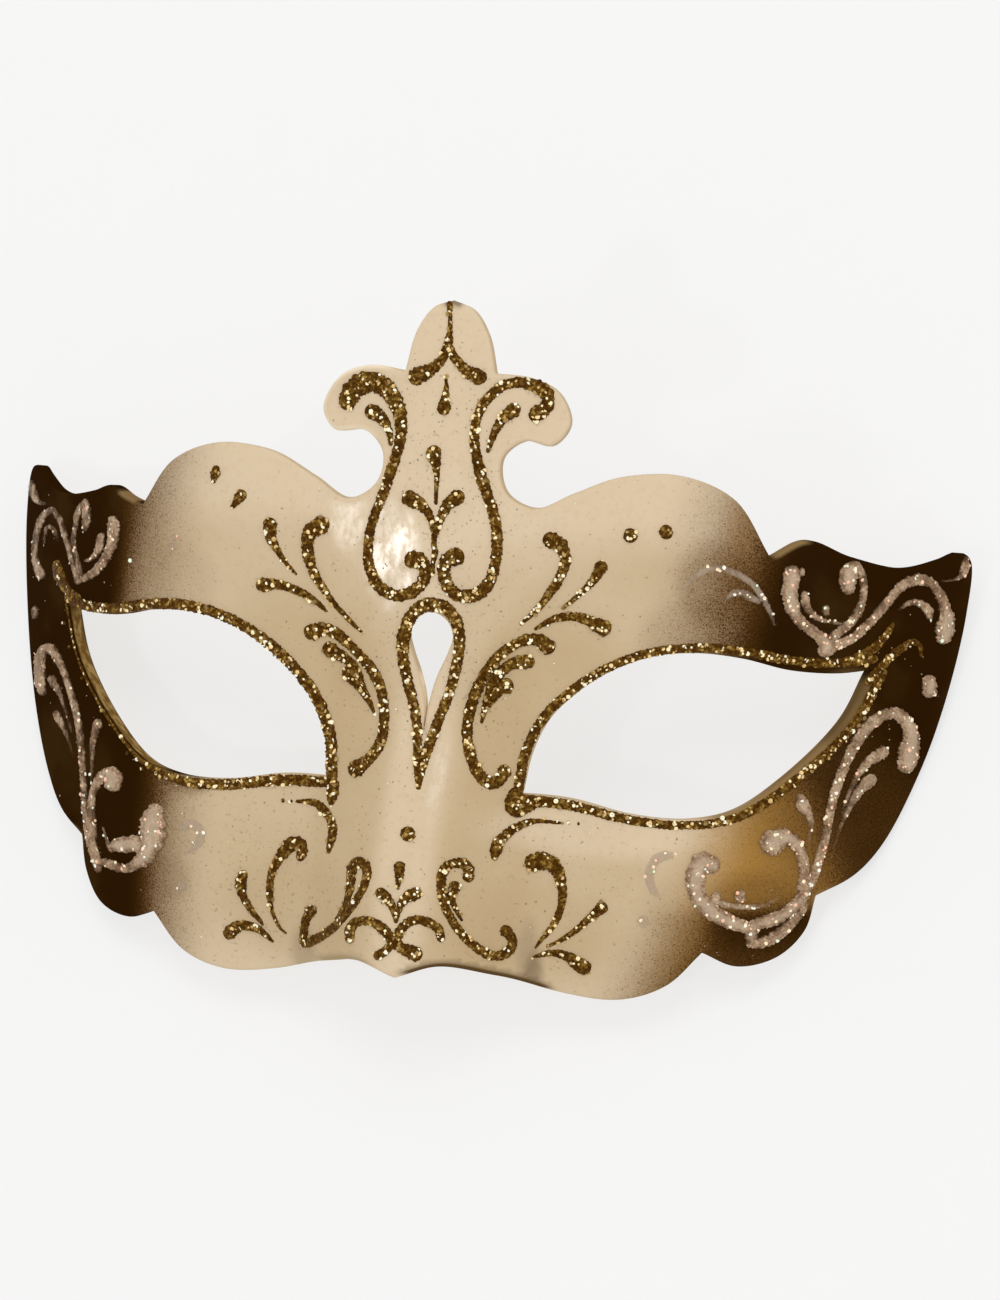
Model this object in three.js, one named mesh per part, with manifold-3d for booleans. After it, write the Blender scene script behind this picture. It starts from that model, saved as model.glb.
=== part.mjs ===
// Half mask of pressed paper pulp: one thin shell with two eye openings and a teardrop opening.
// Units are millimetres. The pattern lies in the XY plane, +Y towards the crest above the brow,
// +Z out of the face. The shell is cut flat as a slab, then pressed over the face form, so every
// cut edge stands square to the surface. At the end it is laid face up on the outer edges of its
// wings.
import * as THREE from 'three';
import { mergeVertices } from 'three/addons/utils/BufferGeometryUtils.js';
import Module from 'manifold-3d';

const wasm = await Module();
wasm.setup();

const SHELL_THICKNESS = 3;

// Face form: a shallow plane through the brow, swept back at the temples, with a nose.
const BROW_HEIGHT = 53;
const FACE_SLOPE = -0.034;
const FACE_CURVE = -0.00056;
const CREST_START = 40;
const CREST_LEAN = -0.0016;
const HALF_SPAN = 90;
const SWEEP_DEPTH = 37.6;
const SWEEP_SLOPE = 0.096;
const SWEEP_POWER = 3.3;
const NOSE_HEIGHT = 18.6;
const NOSE_TOP = 0.5;
const NOSE_RISE_LENGTH = 27;
const NOSE_RISE_POWER = 1.6;
const NOSE_BRIDGE_WIDTH = 10.5;
const NOSE_EXTRA_WIDTH = 7;
const NOSE_FLANK_POWER = 2.6;

// Soft swellings of the form, the same on both sides: centre, radii and height.
const SWELLINGS = [
  { x: 41, y: 36, radiusX: 19, radiusY: 13, height: 1.6 },
  { x: 42, y: -36, radiusX: 20, radiusY: 13, height: 1.8 },
  { x: 46, y: -3, radiusX: 24, radiusY: 11, height: -1.2 },
];

// Flat pattern. Each span is a smooth curve through its points, and spans meet in corners.
// Distances from the middle line; the hand-cut left half is a little taller at the wing.
const RIGHT_SPANS = [
  [[0, 72.6], [3.8, 71.2], [7.0, 66.8], [9.0, 60.0]],
  [[9.0, 60.0], [15.9, 59.6], [21.2, 57.2], [23.7, 51.8], [20.6, 47.6], [15.5, 48.1], [11.4, 44.6],
    [12.4, 38.6], [18.0, 36.0], [25.5, 39.4], [34.0, 42.9], [45.0, 43.5], [54.2, 39.3], [60.7, 28.7]],
  [[60.7, 28.7], [66.6, 31.7], [73.8, 28.4], [82.6, 25.6], [88.4, 26.6], [90.9, 27.5], [92.3, 25.9],
    [92.3, 16.0], [90.2, 0.6], [86.9, -12.8], [81.8, -25.6], [77.6, -30.9], [71.6, -34.3]],
  [[71.6, -34.3], [70.0, -40.9], [65.5, -45.7], [58.8, -47.3], [52.8, -44.7]],
  [[52.8, -44.7], [46.6, -51.2], [38.2, -54.3], [27.4, -53.5], [17.2, -50.0], [8.0, -47.3], [0, -49.6]],
];
const LEFT_SPANS = [
  [[0, 72.6], [3.6, 71.2], [6.5, 66.8], [8.1, 59.4]],
  [[8.1, 59.4], [14.8, 59.9], [20.4, 57.6], [23.3, 51.5], [20.8, 47.7], [14.8, 47.9], [11.3, 44.2],
    [12.2, 38.5], [17.4, 35.3], [24.0, 38.8], [33.0, 43.0], [44.0, 43.3], [53.6, 38.8], [60.1, 29.6]],
  [[60.1, 29.6], [64.2, 30.4], [68.5, 31.7], [73.0, 29.9], [80.6, 27.6], [85.2, 27.5], [90.4, 29.2],
    [93.0, 30.0], [94.5, 28.2], [94.9, 19.4], [91.7, 2.4], [86.9, -13.9], [81.2, -26.4],
    [77.1, -31.9], [71.3, -35.5]],
  [[71.3, -35.5], [69.8, -42.0], [66.0, -47.3], [59.4, -48.9], [53.4, -46.7]],
  [[53.4, -46.7], [47.0, -53.1], [38.4, -55.6], [27.7, -54.2], [17.4, -50.4], [8.0, -47.6], [0, -49.6]],
];
const EYE_SPANS = [
  [[78.2, 7.2], [73.0, 6.9], [65.0, 7.8], [57.0, 10.0], [49.0, 10.9], [41.4, 10.0], [34.2, 7.1],
    [28.2, 2.9], [22.8, -2.8], [19.9, -9.2], [18.9, -16.6]],
  [[18.9, -16.6], [28.2, -17.2], [38.6, -19.2], [49.2, -19.7], [57.0, -18.0], [64.8, -12.4],
    [74.2, -2.1], [78.2, 7.2]],
];
const TEARDROP_SPANS = [
  [[-0.3, -6.0], [-0.05, -1.6], [1.2, 3.5], [3.2, 8.4], [3.9, 11.4], [2.6, 14.1], [-0.3, 15.4],
    [-3.2, 14.1], [-4.5, 11.4], [-3.8, 8.4], [-1.9, 3.5], [-0.55, -1.6], [-0.3, -6.0]],
];

const OUTLINE_STEP = 2.8;
const TEARDROP_STEP = 1.6;
const GRID_STEP = 4;
const GRID_HALF_WIDTH = 104;
const GRID_BOTTOM = -64;
const GRID_TOP = 80;
// The slab is very slightly domed while it is cut, so that no two of its facets are level.
const SLAB_DOME = 0.001;
const CUTTER_HALF_HEIGHT = 60;

// Turns that balance the shell on the outer edges of its wings, and the depth of the small flat
// spot on each edge that keeps it from rocking there.
const LIE_TURN_X = THREE.MathUtils.degToRad(27.2);
const LIE_TURN_Y = THREE.MathUtils.degToRad(0.14);
const REST_FLAT_DEPTH = 0.35;
const REST_CUTTER_DEPTH = 10;

function bump(x, y, swelling) {
  const dx = (Math.abs(x) - swelling.x) / swelling.radiusX;
  const dy = (y - swelling.y) / swelling.radiusY;
  return swelling.height * Math.exp(-dx * dx - dy * dy);
}

// Height of the front face over the pattern plane.
function formHeight(x, y) {
  const crest = Math.max(0, y - CREST_START);
  const plane = BROW_HEIGHT + FACE_SLOPE * y + FACE_CURVE * y * y + CREST_LEAN * crest * crest;
  const sweep = (SWEEP_DEPTH + SWEEP_SLOPE * y) * (Math.abs(x) / HALF_SPAN) ** SWEEP_POWER;
  const along = Math.max(0, (NOSE_TOP - y) / NOSE_RISE_LENGTH);
  const rise = 1 - Math.exp(-(along ** NOSE_RISE_POWER));
  const width = NOSE_BRIDGE_WIDTH + NOSE_EXTRA_WIDTH * rise;
  const nose = NOSE_HEIGHT * rise * Math.exp(-((Math.abs(x) / width) ** NOSE_FLANK_POWER));
  const swellings = SWELLINGS.reduce((sum, swelling) => sum + bump(x, y, swelling), 0);
  return plane - sweep + nose + swellings;
}

// Point of the form at pattern position (x, y), moved along the surface normal by depth.
function pressedPoint(x, y, depth) {
  const probe = 0.02;
  const slopeX = (formHeight(x + probe, y) - formHeight(x - probe, y)) / (2 * probe);
  const slopeY = (formHeight(x, y + probe) - formHeight(x, y - probe)) / (2 * probe);
  const normal = new THREE.Vector3(-slopeX, -slopeY, 1).normalize();
  return new THREE.Vector3(x, y, formHeight(x, y)).addScaledVector(normal, depth);
}

// Evenly stepped points along the spans, corner to corner.
function sampleSpans(spans, step, side) {
  const points = [];
  for (const span of spans) {
    const knots = span.map(([x, y]) => new THREE.Vector3(side * x, y, 0));
    const curve = new THREE.CatmullRomCurve3(knots, false, 'centripetal');
    const count = Math.max(2, Math.round(curve.getLength() / step));
    points.push(...curve.getSpacedPoints(count).slice(0, count).map((p) => new THREE.Vector2(p.x, p.y)));
  }
  return points;
}

function toManifold(geometry) {
  geometry.deleteAttribute('normal');
  geometry.deleteAttribute('uv');
  const merged = mergeVertices(geometry, 1e-5);
  const vertProperties = new Float32Array(merged.attributes.position.array);
  const triVerts = new Uint32Array(merged.index.array);
  return new wasm.Manifold(new wasm.Mesh({ numProp: 3, vertProperties, triVerts }));
}

// Upright cutter with the closed outline as its section.
function cutter(outline) {
  const geometry = new THREE.ExtrudeGeometry(new THREE.Shape(outline), {
    depth: 2 * CUTTER_HALF_HEIGHT,
    bevelEnabled: false,
    steps: 1,
  });
  geometry.translate(0, 0, -CUTTER_HALF_HEIGHT);
  return toManifold(geometry);
}

function slabDome(x, y) {
  return SLAB_DOME * (x * x + y * y);
}

// Domed slab with an even grid of facets on its front and back.
function slab() {
  const columns = Math.round((2 * GRID_HALF_WIDTH) / GRID_STEP);
  const rows = Math.round((GRID_TOP - GRID_BOTTOM) / GRID_STEP);
  const geometry = new THREE.BoxGeometry(
    2 * GRID_HALF_WIDTH, GRID_TOP - GRID_BOTTOM, SHELL_THICKNESS, columns, rows, 1);
  geometry.translate(0, (GRID_TOP + GRID_BOTTOM) / 2, -SHELL_THICKNESS / 2);
  const position = geometry.attributes.position;
  for (let i = 0; i < position.count; i += 1) {
    position.setZ(i, position.getZ(i) + slabDome(position.getX(i), position.getY(i)));
  }
  return toManifold(geometry);
}

function cutPattern() {
  const right = sampleSpans(RIGHT_SPANS, OUTLINE_STEP, 1);
  const left = sampleSpans(LEFT_SPANS.map((span) => [...span].reverse()).reverse(), OUTLINE_STEP, -1);
  let pattern = slab().intersect(cutter([...right, ...left].reverse()));
  for (const side of [1, -1]) {
    pattern = pattern.subtract(cutter(sampleSpans(EYE_SPANS, OUTLINE_STEP, side)));
  }
  return pattern.subtract(cutter(sampleSpans(TEARDROP_SPANS, TEARDROP_STEP, 1)));
}

// Indexed geometry of a solid.
function toGeometry(solid) {
  const mesh = solid.getMesh();
  const stride = mesh.numProp;
  const count = mesh.vertProperties.length / stride;
  const positions = new Float32Array(count * 3);
  for (let i = 0; i < count; i += 1) {
    positions.set(mesh.vertProperties.slice(i * stride, i * stride + 3), i * 3);
  }
  const geometry = new THREE.BufferGeometry();
  geometry.setAttribute('position', new THREE.BufferAttribute(positions, 3));
  geometry.setIndex(new THREE.BufferAttribute(new Uint32Array(mesh.triVerts), 1));
  return geometry;
}

// Presses the cut slab over the form: front points stay on it, back points go inwards.
function pressOverForm(geometry) {
  const position = geometry.attributes.position;
  for (let i = 0; i < position.count; i += 1) {
    const x = position.getX(i);
    const y = position.getY(i);
    const isFront = position.getZ(i) > slabDome(x, y) - SHELL_THICKNESS / 2;
    const point = pressedPoint(x, y, isFront ? 0 : -SHELL_THICKNESS);
    position.setXYZ(i, point.x, point.y, point.z);
  }
  return geometry;
}

// Turns the shell onto the edges of its wings and cuts the rest flats level with the table.
function layOnTable(geometry) {
  geometry.rotateY(LIE_TURN_Y);
  geometry.rotateX(LIE_TURN_X);
  geometry.computeBoundingBox();
  const { min, max } = geometry.boundingBox;
  geometry.translate(-(min.x + max.x) / 2, -(min.y + max.y) / 2, -min.z - REST_FLAT_DEPTH);
  const belowTable = new THREE.BoxGeometry(
    4 * GRID_HALF_WIDTH, 4 * GRID_HALF_WIDTH, REST_CUTTER_DEPTH);
  belowTable.translate(0, 0, -REST_CUTTER_DEPTH / 2);
  return toGeometry(toManifold(geometry).subtract(toManifold(belowTable)));
}

const shellGeometry = layOnTable(pressOverForm(toGeometry(cutPattern())));
shellGeometry.computeVertexNormals();

const shell = new THREE.Mesh(
  shellGeometry,
  new THREE.MeshStandardMaterial({ color: 0xd9c7a4, roughness: 0.45, metalness: 0 }),
);
shell.name = 'mask_shell';
shell.material.name = 'painted_shell';

const part = new THREE.Group();
part.name = 'colombina_mask';
part.add(shell);

export default part;
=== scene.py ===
"""Looks of a painted half mask: lacquered paper, airbrushed wings, gold and pearl glitter scrollwork."""

import logging
import math
from dataclasses import dataclass
from enum import Enum

import bpy
import numpy as np
from mathutils import Matrix, Vector
from mathutils.geometry import delaunay_2d_cdt

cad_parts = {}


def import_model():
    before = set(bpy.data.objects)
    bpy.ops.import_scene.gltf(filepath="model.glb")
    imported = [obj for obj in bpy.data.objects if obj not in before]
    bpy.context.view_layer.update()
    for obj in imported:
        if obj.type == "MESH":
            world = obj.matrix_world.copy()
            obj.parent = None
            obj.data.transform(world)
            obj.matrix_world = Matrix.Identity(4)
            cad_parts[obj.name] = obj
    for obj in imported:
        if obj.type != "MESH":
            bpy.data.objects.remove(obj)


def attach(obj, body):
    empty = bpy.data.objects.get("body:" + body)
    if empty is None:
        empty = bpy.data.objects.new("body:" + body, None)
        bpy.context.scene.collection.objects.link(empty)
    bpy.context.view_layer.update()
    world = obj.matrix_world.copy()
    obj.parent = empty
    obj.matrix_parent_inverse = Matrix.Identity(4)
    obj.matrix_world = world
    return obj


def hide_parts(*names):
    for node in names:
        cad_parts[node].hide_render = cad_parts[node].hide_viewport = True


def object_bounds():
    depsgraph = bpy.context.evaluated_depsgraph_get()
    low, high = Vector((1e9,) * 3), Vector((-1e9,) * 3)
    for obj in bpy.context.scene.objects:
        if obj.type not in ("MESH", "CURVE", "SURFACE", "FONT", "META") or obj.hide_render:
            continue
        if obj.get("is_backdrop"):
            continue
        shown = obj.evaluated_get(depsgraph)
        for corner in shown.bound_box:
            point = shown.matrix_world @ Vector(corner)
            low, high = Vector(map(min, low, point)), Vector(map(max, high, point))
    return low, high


LOG = logging.getLogger("mask")
MM = 0.001
TINY = 1e-9
NODE = "mask_shell"
BODY = "root"

Points = np.ndarray
Knots = tuple[tuple[float, float, float], ...]
Piece = bpy.types.Object
Material = bpy.types.Material
Random = np.random.Generator


def unit_rows(rows: Points) -> Points:
    """Scales vectors to length 1, each along the last axis."""
    return rows / np.linalg.norm(rows, axis=-1, keepdims=True)


class Space(Enum):
    """Plane in which a line of glue is laid out."""

    PHOTO = "photo"
    PATTERN = "pattern"


class Glue(Enum):
    """Sort of glitter glue, named as the record names its finish."""

    GOLD = "gold_glitter"
    PEARL = "pearl_glitter"


# Face form


@dataclass(frozen=True)
class Swelling:
    """Soft rise of the form, the same on both sides, in millimetres."""

    x: float
    y: float
    radius_x: float
    radius_y: float
    height: float

    def rise(self, x: Points, y: Points) -> Points:
        """Height of a bell curve over the ellipse."""
        across, up = (np.abs(x) - self.x) / self.radius_x, (y - self.y) / self.radius_y
        return self.height * np.exp(-(across**2) - up**2)


@dataclass(frozen=True)
class FaceForm:
    """The form that the shell is pressed over, and the way it lies on the table.

    Height over the pattern = shallow plane - swept-back temples + nose + swellings.
    """

    thickness: float = 3.0
    brow_height: float = 53.0
    face_slope: float = -0.034
    face_curve: float = -0.00056
    crest_start: float = 40.0
    crest_lean: float = -0.0016
    half_span: float = 90.0
    sweep_depth: float = 37.6
    sweep_slope: float = 0.096
    sweep_power: float = 3.3
    nose_height: float = 18.6
    nose_top: float = 0.5
    nose_rise_length: float = 27.0
    nose_rise_power: float = 1.6
    nose_bridge_width: float = 10.5
    nose_extra_width: float = 7.0
    nose_flank_power: float = 2.6
    swellings: tuple[Swelling, ...] = (
        Swelling(41, 36, 19, 13, 1.6),
        Swelling(42, -36, 20, 13, 1.8),
        Swelling(46, -3, 24, 11, -1.2),
    )
    lie_turn_x: float = 27.2
    lie_turn_y: float = 0.14
    lie_shift: tuple[float, float, float] = (1.1932, 16.0214, -11.0349)

    def height(self, x: Points, y: Points) -> Points:
        """Works out the height of the front face over the pattern plane.

        Args:
            x: Pattern positions across the face, in millimetres.
            y: Pattern positions up the face, in millimetres.

        Returns:
            Heights in millimetres, as an array of the same shape.
        """
        crest = np.clip(y - self.crest_start, 0, None)
        plane = self.brow_height + self.face_slope * y + self.face_curve * y * y
        plane = plane + self.crest_lean * crest * crest
        sweep = (np.abs(x) / self.half_span) ** self.sweep_power
        sweep = (self.sweep_depth + self.sweep_slope * y) * sweep
        along = np.clip((self.nose_top - y) / self.nose_rise_length, 0, None)
        rise = 1 - np.exp(-(along**self.nose_rise_power))
        width = self.nose_bridge_width + self.nose_extra_width * rise
        flanks = np.exp(-((np.abs(x) / width) ** self.nose_flank_power))
        nose = self.nose_height * rise * flanks
        return plane - sweep + nose + sum(s.rise(x, y) for s in self.swellings)

    def normal(self, x: Points, y: Points) -> Points:
        """Works out the unit normal of the front face from slopes over a short probe.

        Args:
            x: Pattern positions across the face.
            y: Pattern positions up the face.

        Returns:
            Unit vectors, one row of three for each position.
        """
        probe = 0.02
        slope_x = (self.height(x + probe, y) - self.height(x - probe, y)) / (2 * probe)
        slope_y = (self.height(x, y + probe) - self.height(x, y - probe)) / (2 * probe)
        normal = np.stack([-slope_x, -slope_y, np.ones_like(slope_x)], axis=-1)
        return unit_rows(normal)

    def point(self, x: Points, y: Points, depth: Points | float = 0.0) -> Points:
        """Places pattern positions on the form, moved by depth along its normal."""
        on_form = np.stack([x, y, self.height(x, y)], axis=-1)
        return on_form + self.normal(x, y) * np.asarray(depth, float)[..., None]

    def turn(self) -> Points:
        """Rotation that lays the mask on the edges of its wings, as a 3 by 3 array."""
        about_x = Matrix.Rotation(math.radians(self.lie_turn_x), 3, "X")
        about_y = Matrix.Rotation(math.radians(self.lie_turn_y), 3, "Y")
        return np.array(about_x @ about_y)

    def to_frame(self, points: Points) -> Points:
        """Moves points from the form's millimetres to the part's frame in metres."""
        return (points @ self.turn().T + np.array(self.lie_shift)) * MM


FORM = FaceForm()


# Camera


@dataclass(frozen=True)
class PhotoCamera:
    """Camera that sees the mask as the photograph does, set out in the form's axes."""

    yaw: float = 14.0
    pitch: float = 10.0
    roll: float = 2.3
    distance: float = 1200.0
    pixels_per_mm: float = 5.2
    width: int = 1000
    height: int = 1300
    sensor: float = 36.0
    clip_near: float = 0.05
    clip_far: float = 20.0
    probe: float = 0.02
    first_shift: float = 12.0
    cast_rounds: int = 24
    longest_move: float = 6.0

    def axes(self) -> tuple[Points, Points, Points]:
        """Works out the camera's axes from yaw, pitch and roll.

        Returns:
            Unit vectors towards the camera, to the picture's right and to its top.
        """
        yaw, pitch, roll = map(math.radians, (self.yaw, self.pitch, self.roll))
        flat = math.cos(pitch)
        back = np.array([math.sin(yaw) * flat, math.sin(pitch), math.cos(yaw) * flat])
        level = np.array([math.cos(yaw), 0.0, -math.sin(yaw)])
        above = np.cross(back, level)
        right = math.cos(roll) * level + math.sin(roll) * above
        top = -math.sin(roll) * level + math.cos(roll) * above
        return back, right, top

    def project(self, points: Points) -> Points:
        """Projects points of the form to photograph pixels.

        Args:
            points: Points in the form's millimetres.

        Returns:
            Pixel positions, one row of two each.
        """
        back, right, top = self.axes()
        near = self.distance / (self.distance - points @ back)
        across = self.width / 2 + self.pixels_per_mm * near * (points @ right)
        down = self.height / 2 - self.pixels_per_mm * near * (points @ top)
        return np.stack([across, down], axis=-1)

    def cast(self, pixels: Points) -> Points:
        """Finds where sight lines through pixels meet the front face, by Newton steps.

        Args:
            pixels: Pixel positions, one row of two each.

        Returns:
            Pattern positions in millimetres, one row of two each.
        """
        x = (pixels[:, 0] - self.width / 2) / self.pixels_per_mm + self.first_shift
        y = (self.height / 2 - pixels[:, 1]) / self.pixels_per_mm
        for _ in range(self.cast_rounds):
            here = self.project(FORM.point(x, y))
            by_x = (self.project(FORM.point(x + self.probe, y)) - here) / self.probe
            by_y = (self.project(FORM.point(x, y + self.probe)) - here) / self.probe
            miss = pixels - here
            det = by_x[:, 0] * by_y[:, 1] - by_x[:, 1] * by_y[:, 0]
            move_x = (miss[:, 0] * by_y[:, 1] - miss[:, 1] * by_y[:, 0]) / det
            move_y = (by_x[:, 0] * miss[:, 1] - by_x[:, 1] * miss[:, 0]) / det
            length = np.hypot(move_x, move_y)
            keep = np.minimum(1.0, self.longest_move / np.maximum(length, TINY))
            x = x + move_x * keep
            y = y + move_y * keep
        return np.stack([x, y], axis=-1)

    def build(self) -> None:
        """Adds the camera, which frames the whole photograph, and sets it as the scene's."""
        data = bpy.data.cameras.new("camera")
        data.sensor_width = self.sensor
        data.lens = self.sensor * self.pixels_per_mm * self.distance / self.height
        data.clip_start = self.clip_near
        data.clip_end = self.clip_far
        camera = bpy.data.objects.new("camera", data)
        bpy.context.scene.collection.objects.link(camera)
        turn = FORM.turn()
        back, right, top = (turn @ axis for axis in self.axes())
        place = FORM.to_frame(self.axes()[0][None] * self.distance)[0]
        matrix = Matrix(np.column_stack([right, top, back]).tolist()).to_4x4()
        matrix.translation = Vector(place)
        camera.matrix_world = matrix
        bpy.context.scene.camera = camera


CAMERA = PhotoCamera()


# Curves


CURVE_POINTS = 40
SHORTEST_GAP = 1e-4


def smooth_path(knots: Points, step: float) -> Points:
    """Runs a centripetal Catmull-Rom curve through knots and spaces points evenly on it.

    Args:
        knots: Points of the curve, one row each, in any number of columns.
        step: Distance between points along the first two columns.

    Returns:
        Points along the curve, with both ends.
    """
    ends = np.vstack([2 * knots[:1] - knots[1:2], knots, 2 * knots[-1:] - knots[-2:-1]])
    gaps = np.linalg.norm(np.diff(ends[:, :2], axis=0), axis=1) ** 0.5
    gaps = np.maximum(gaps, SHORTEST_GAP)
    t = np.linspace(0, 1, CURVE_POINTS, endpoint=False)[:, None]
    pieces = []
    for i in range(len(knots) - 1):
        p0, p1, p2, p3 = ends[i : i + 4]
        d0, d1, d2 = gaps[i : i + 3]
        tan1 = ((p1 - p0) / d0 - (p2 - p0) / (d0 + d1) + (p2 - p1) / d1) * d1
        tan2 = ((p2 - p1) / d1 - (p3 - p1) / (d1 + d2) + (p3 - p2) / d2) * d1
        square = (-3 * p1 + 3 * p2 - 2 * tan1 - tan2) * t**2
        cube = (2 * p1 - 2 * p2 + tan1 + tan2) * t**3
        pieces.append(p1 + tan1 * t + square + cube)
    dense = np.vstack([*pieces, knots[-1:]])
    lengths = np.linalg.norm(np.diff(dense[:, :2], axis=0), axis=1)
    along = np.concatenate([[0], np.cumsum(lengths)])
    count = max(2, round(along[-1] / step))
    at = np.linspace(0, along[-1], count + 1)
    return np.stack([np.interp(at, along, column) for column in dense.T], axis=-1)


def smooth_step(low: float, high: float, value: Points) -> Points:
    """Eases from 0 at low to 1 at high, as 3t^2 - 2t^3."""
    t = np.clip((value - low) / (high - low), 0, 1)
    return t * t * (3 - 2 * t)


def wave_noise(
    x: Points, y: Points, size: float, seed: int, waves: int = 9, shortening: float = 0.35
) -> Points:
    """Sums seeded plane waves into soft unevenness of about -1 to 1.

    Wave k has the length size / (1 + shortening * k), and the sum is divided by half
    the number of waves.

    Args:
        x: Positions across, in millimetres.
        y: Positions up, in millimetres.
        size: Length of the longest wave, in millimetres.
        seed: Seed of the waves' directions.
        waves: Number of waves.
        shortening: How fast the waves get shorter.

    Returns:
        One value for each position.
    """
    rng = np.random.default_rng(seed)
    total = np.zeros_like(x)
    for k in range(waves):
        angle, phase = rng.uniform(0, 2 * math.pi, 2)
        pitch = size / (1 + shortening * k)
        total += np.sin(2 * math.pi * (x * math.cos(angle) + y * math.sin(angle)) / pitch + phase)
    return total / (waves / 2)


# Mesh helpers


def make_object(name: str, points: Points, faces: list | Points, smooth: bool) -> Piece:
    """Makes a mesh object at the origin from points of the frame.

    Args:
        name: Name of the piece.
        points: Points in metres, one row of three each.
        faces: Corner indices of each face.
        smooth: Whether its faces are shaded smooth.

    Returns:
        The new object, linked to the scene.
    """
    mesh = bpy.data.meshes.new(name)
    face_list = faces.tolist() if isinstance(faces, np.ndarray) else faces
    mesh.from_pydata(points.tolist(), [], face_list)
    mesh.update()
    mesh.polygons.foreach_set("use_smooth", np.full(len(mesh.polygons), smooth))
    piece = bpy.data.objects.new(name, mesh)
    bpy.context.scene.collection.objects.link(piece)
    return piece


def add_values(piece: Piece, name: str, values: Points) -> None:
    """Stores one number for each vertex of a piece, under a name that a material reads."""
    attribute = piece.data.attributes.new(name, "FLOAT", "POINT")
    attribute.data.foreach_set("value", np.asarray(values, np.float32))


def dress(piece: Piece, material: Material) -> None:
    """Gives a piece its material and body.

    Args:
        piece: Object to finish.
        material: Its material.
    """
    piece.data.materials.append(material)
    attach(piece, BODY)


# Shell


RIGHT_SPANS = (
    ((0, 72.6), (3.8, 71.2), (7.0, 66.8), (9.0, 60.0)),
    ((9.0, 60.0), (15.9, 59.6), (21.2, 57.2), (23.7, 51.8), (20.6, 47.6), (15.5, 48.1), (11.4, 44.6),
     (12.4, 38.6), (18.0, 36.0), (25.5, 39.4), (34.0, 42.9), (45.0, 43.5), (54.2, 39.3), (60.7, 28.7)),
    ((60.7, 28.7), (66.6, 31.7), (73.8, 28.4), (82.6, 25.6), (88.4, 26.6), (90.9, 27.5), (92.3, 25.9),
     (92.3, 16.0), (90.2, 0.6), (86.9, -12.8), (81.8, -25.6), (77.6, -30.9), (71.6, -34.3)),
    ((71.6, -34.3), (70.0, -40.9), (65.5, -45.7), (58.8, -47.3), (52.8, -44.7)),
    ((52.8, -44.7), (46.6, -51.2), (38.2, -54.3), (27.4, -53.5), (17.2, -50.0), (8.0, -47.3),
     (0, -49.6)),
)
LEFT_SPANS = (
    ((0, 72.6), (3.6, 71.2), (6.5, 66.8), (8.1, 59.4)),
    ((8.1, 59.4), (14.8, 59.9), (20.4, 57.6), (23.3, 51.5), (20.8, 47.7), (14.8, 47.9), (11.3, 44.2),
     (12.2, 38.5), (17.4, 35.3), (24.0, 38.8), (33.0, 43.0), (44.0, 43.3), (53.6, 38.8), (60.1, 29.6)),
    ((60.1, 29.6), (64.2, 30.4), (68.5, 31.7), (73.0, 29.9), (80.6, 27.6), (85.2, 27.5), (90.4, 29.2),
     (93.0, 30.0), (94.5, 28.2), (94.9, 19.4), (91.7, 2.4), (86.9, -13.9), (81.2, -26.4),
     (77.1, -31.9), (71.3, -35.5)),
    ((71.3, -35.5), (69.8, -42.0), (66.0, -47.3), (59.4, -48.9), (53.4, -46.7)),
    ((53.4, -46.7), (47.0, -53.1), (38.4, -55.6), (27.7, -54.2), (17.4, -50.4), (8.0, -47.6),
     (0, -49.6)),
)
EYE_SPANS = (
    ((78.2, 7.2), (73.0, 6.9), (65.0, 7.8), (57.0, 10.0), (49.0, 10.9), (41.4, 10.0), (34.2, 7.1),
     (28.2, 2.9), (22.8, -2.8), (19.9, -9.2), (18.9, -16.6)),
    ((18.9, -16.6), (28.2, -17.2), (38.6, -19.2), (49.2, -19.7), (57.0, -18.0), (64.8, -12.4),
     (74.2, -2.1), (78.2, 7.2)),
)
TEARDROP_SPANS = (
    ((-0.3, -6.0), (-0.05, -1.6), (1.2, 3.5), (3.2, 8.4), (3.9, 11.4), (2.6, 14.1), (-0.3, 15.4),
     (-3.2, 14.1), (-4.5, 11.4), (-3.8, 8.4), (-1.9, 3.5), (-0.55, -1.6), (-0.3, -6.0)),
)
Spans = tuple[tuple[tuple[float, float], ...], ...]


def span_loop(spans: Spans, side: int, step: float) -> Points:
    """Joins spans that meet in corners to evenly spaced points, mirrored where side is -1."""
    mirror = np.array([side, 1.0])
    return np.vstack([smooth_path(np.array(span) * mirror, step)[:-1] for span in spans])


@dataclass(frozen=True)
class Spray:
    """One soft pass of the airbrush, aimed at an ellipse of the pattern.

    The cover falls from its strength inside the ellipse to none at reach times its radii.
    """

    x: float
    y: float
    radius_x: float
    radius_y: float
    reach: float
    strength: float = 1.0

    def cover(self, x: Points, y: Points) -> Points:
        """Works out how much paint lands at each place, from 0 to 1."""
        away = np.hypot((x - self.x) / self.radius_x, (y - self.y) / self.radius_y)
        return self.strength * (1 - smooth_step(1.0, self.reach, away))


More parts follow.
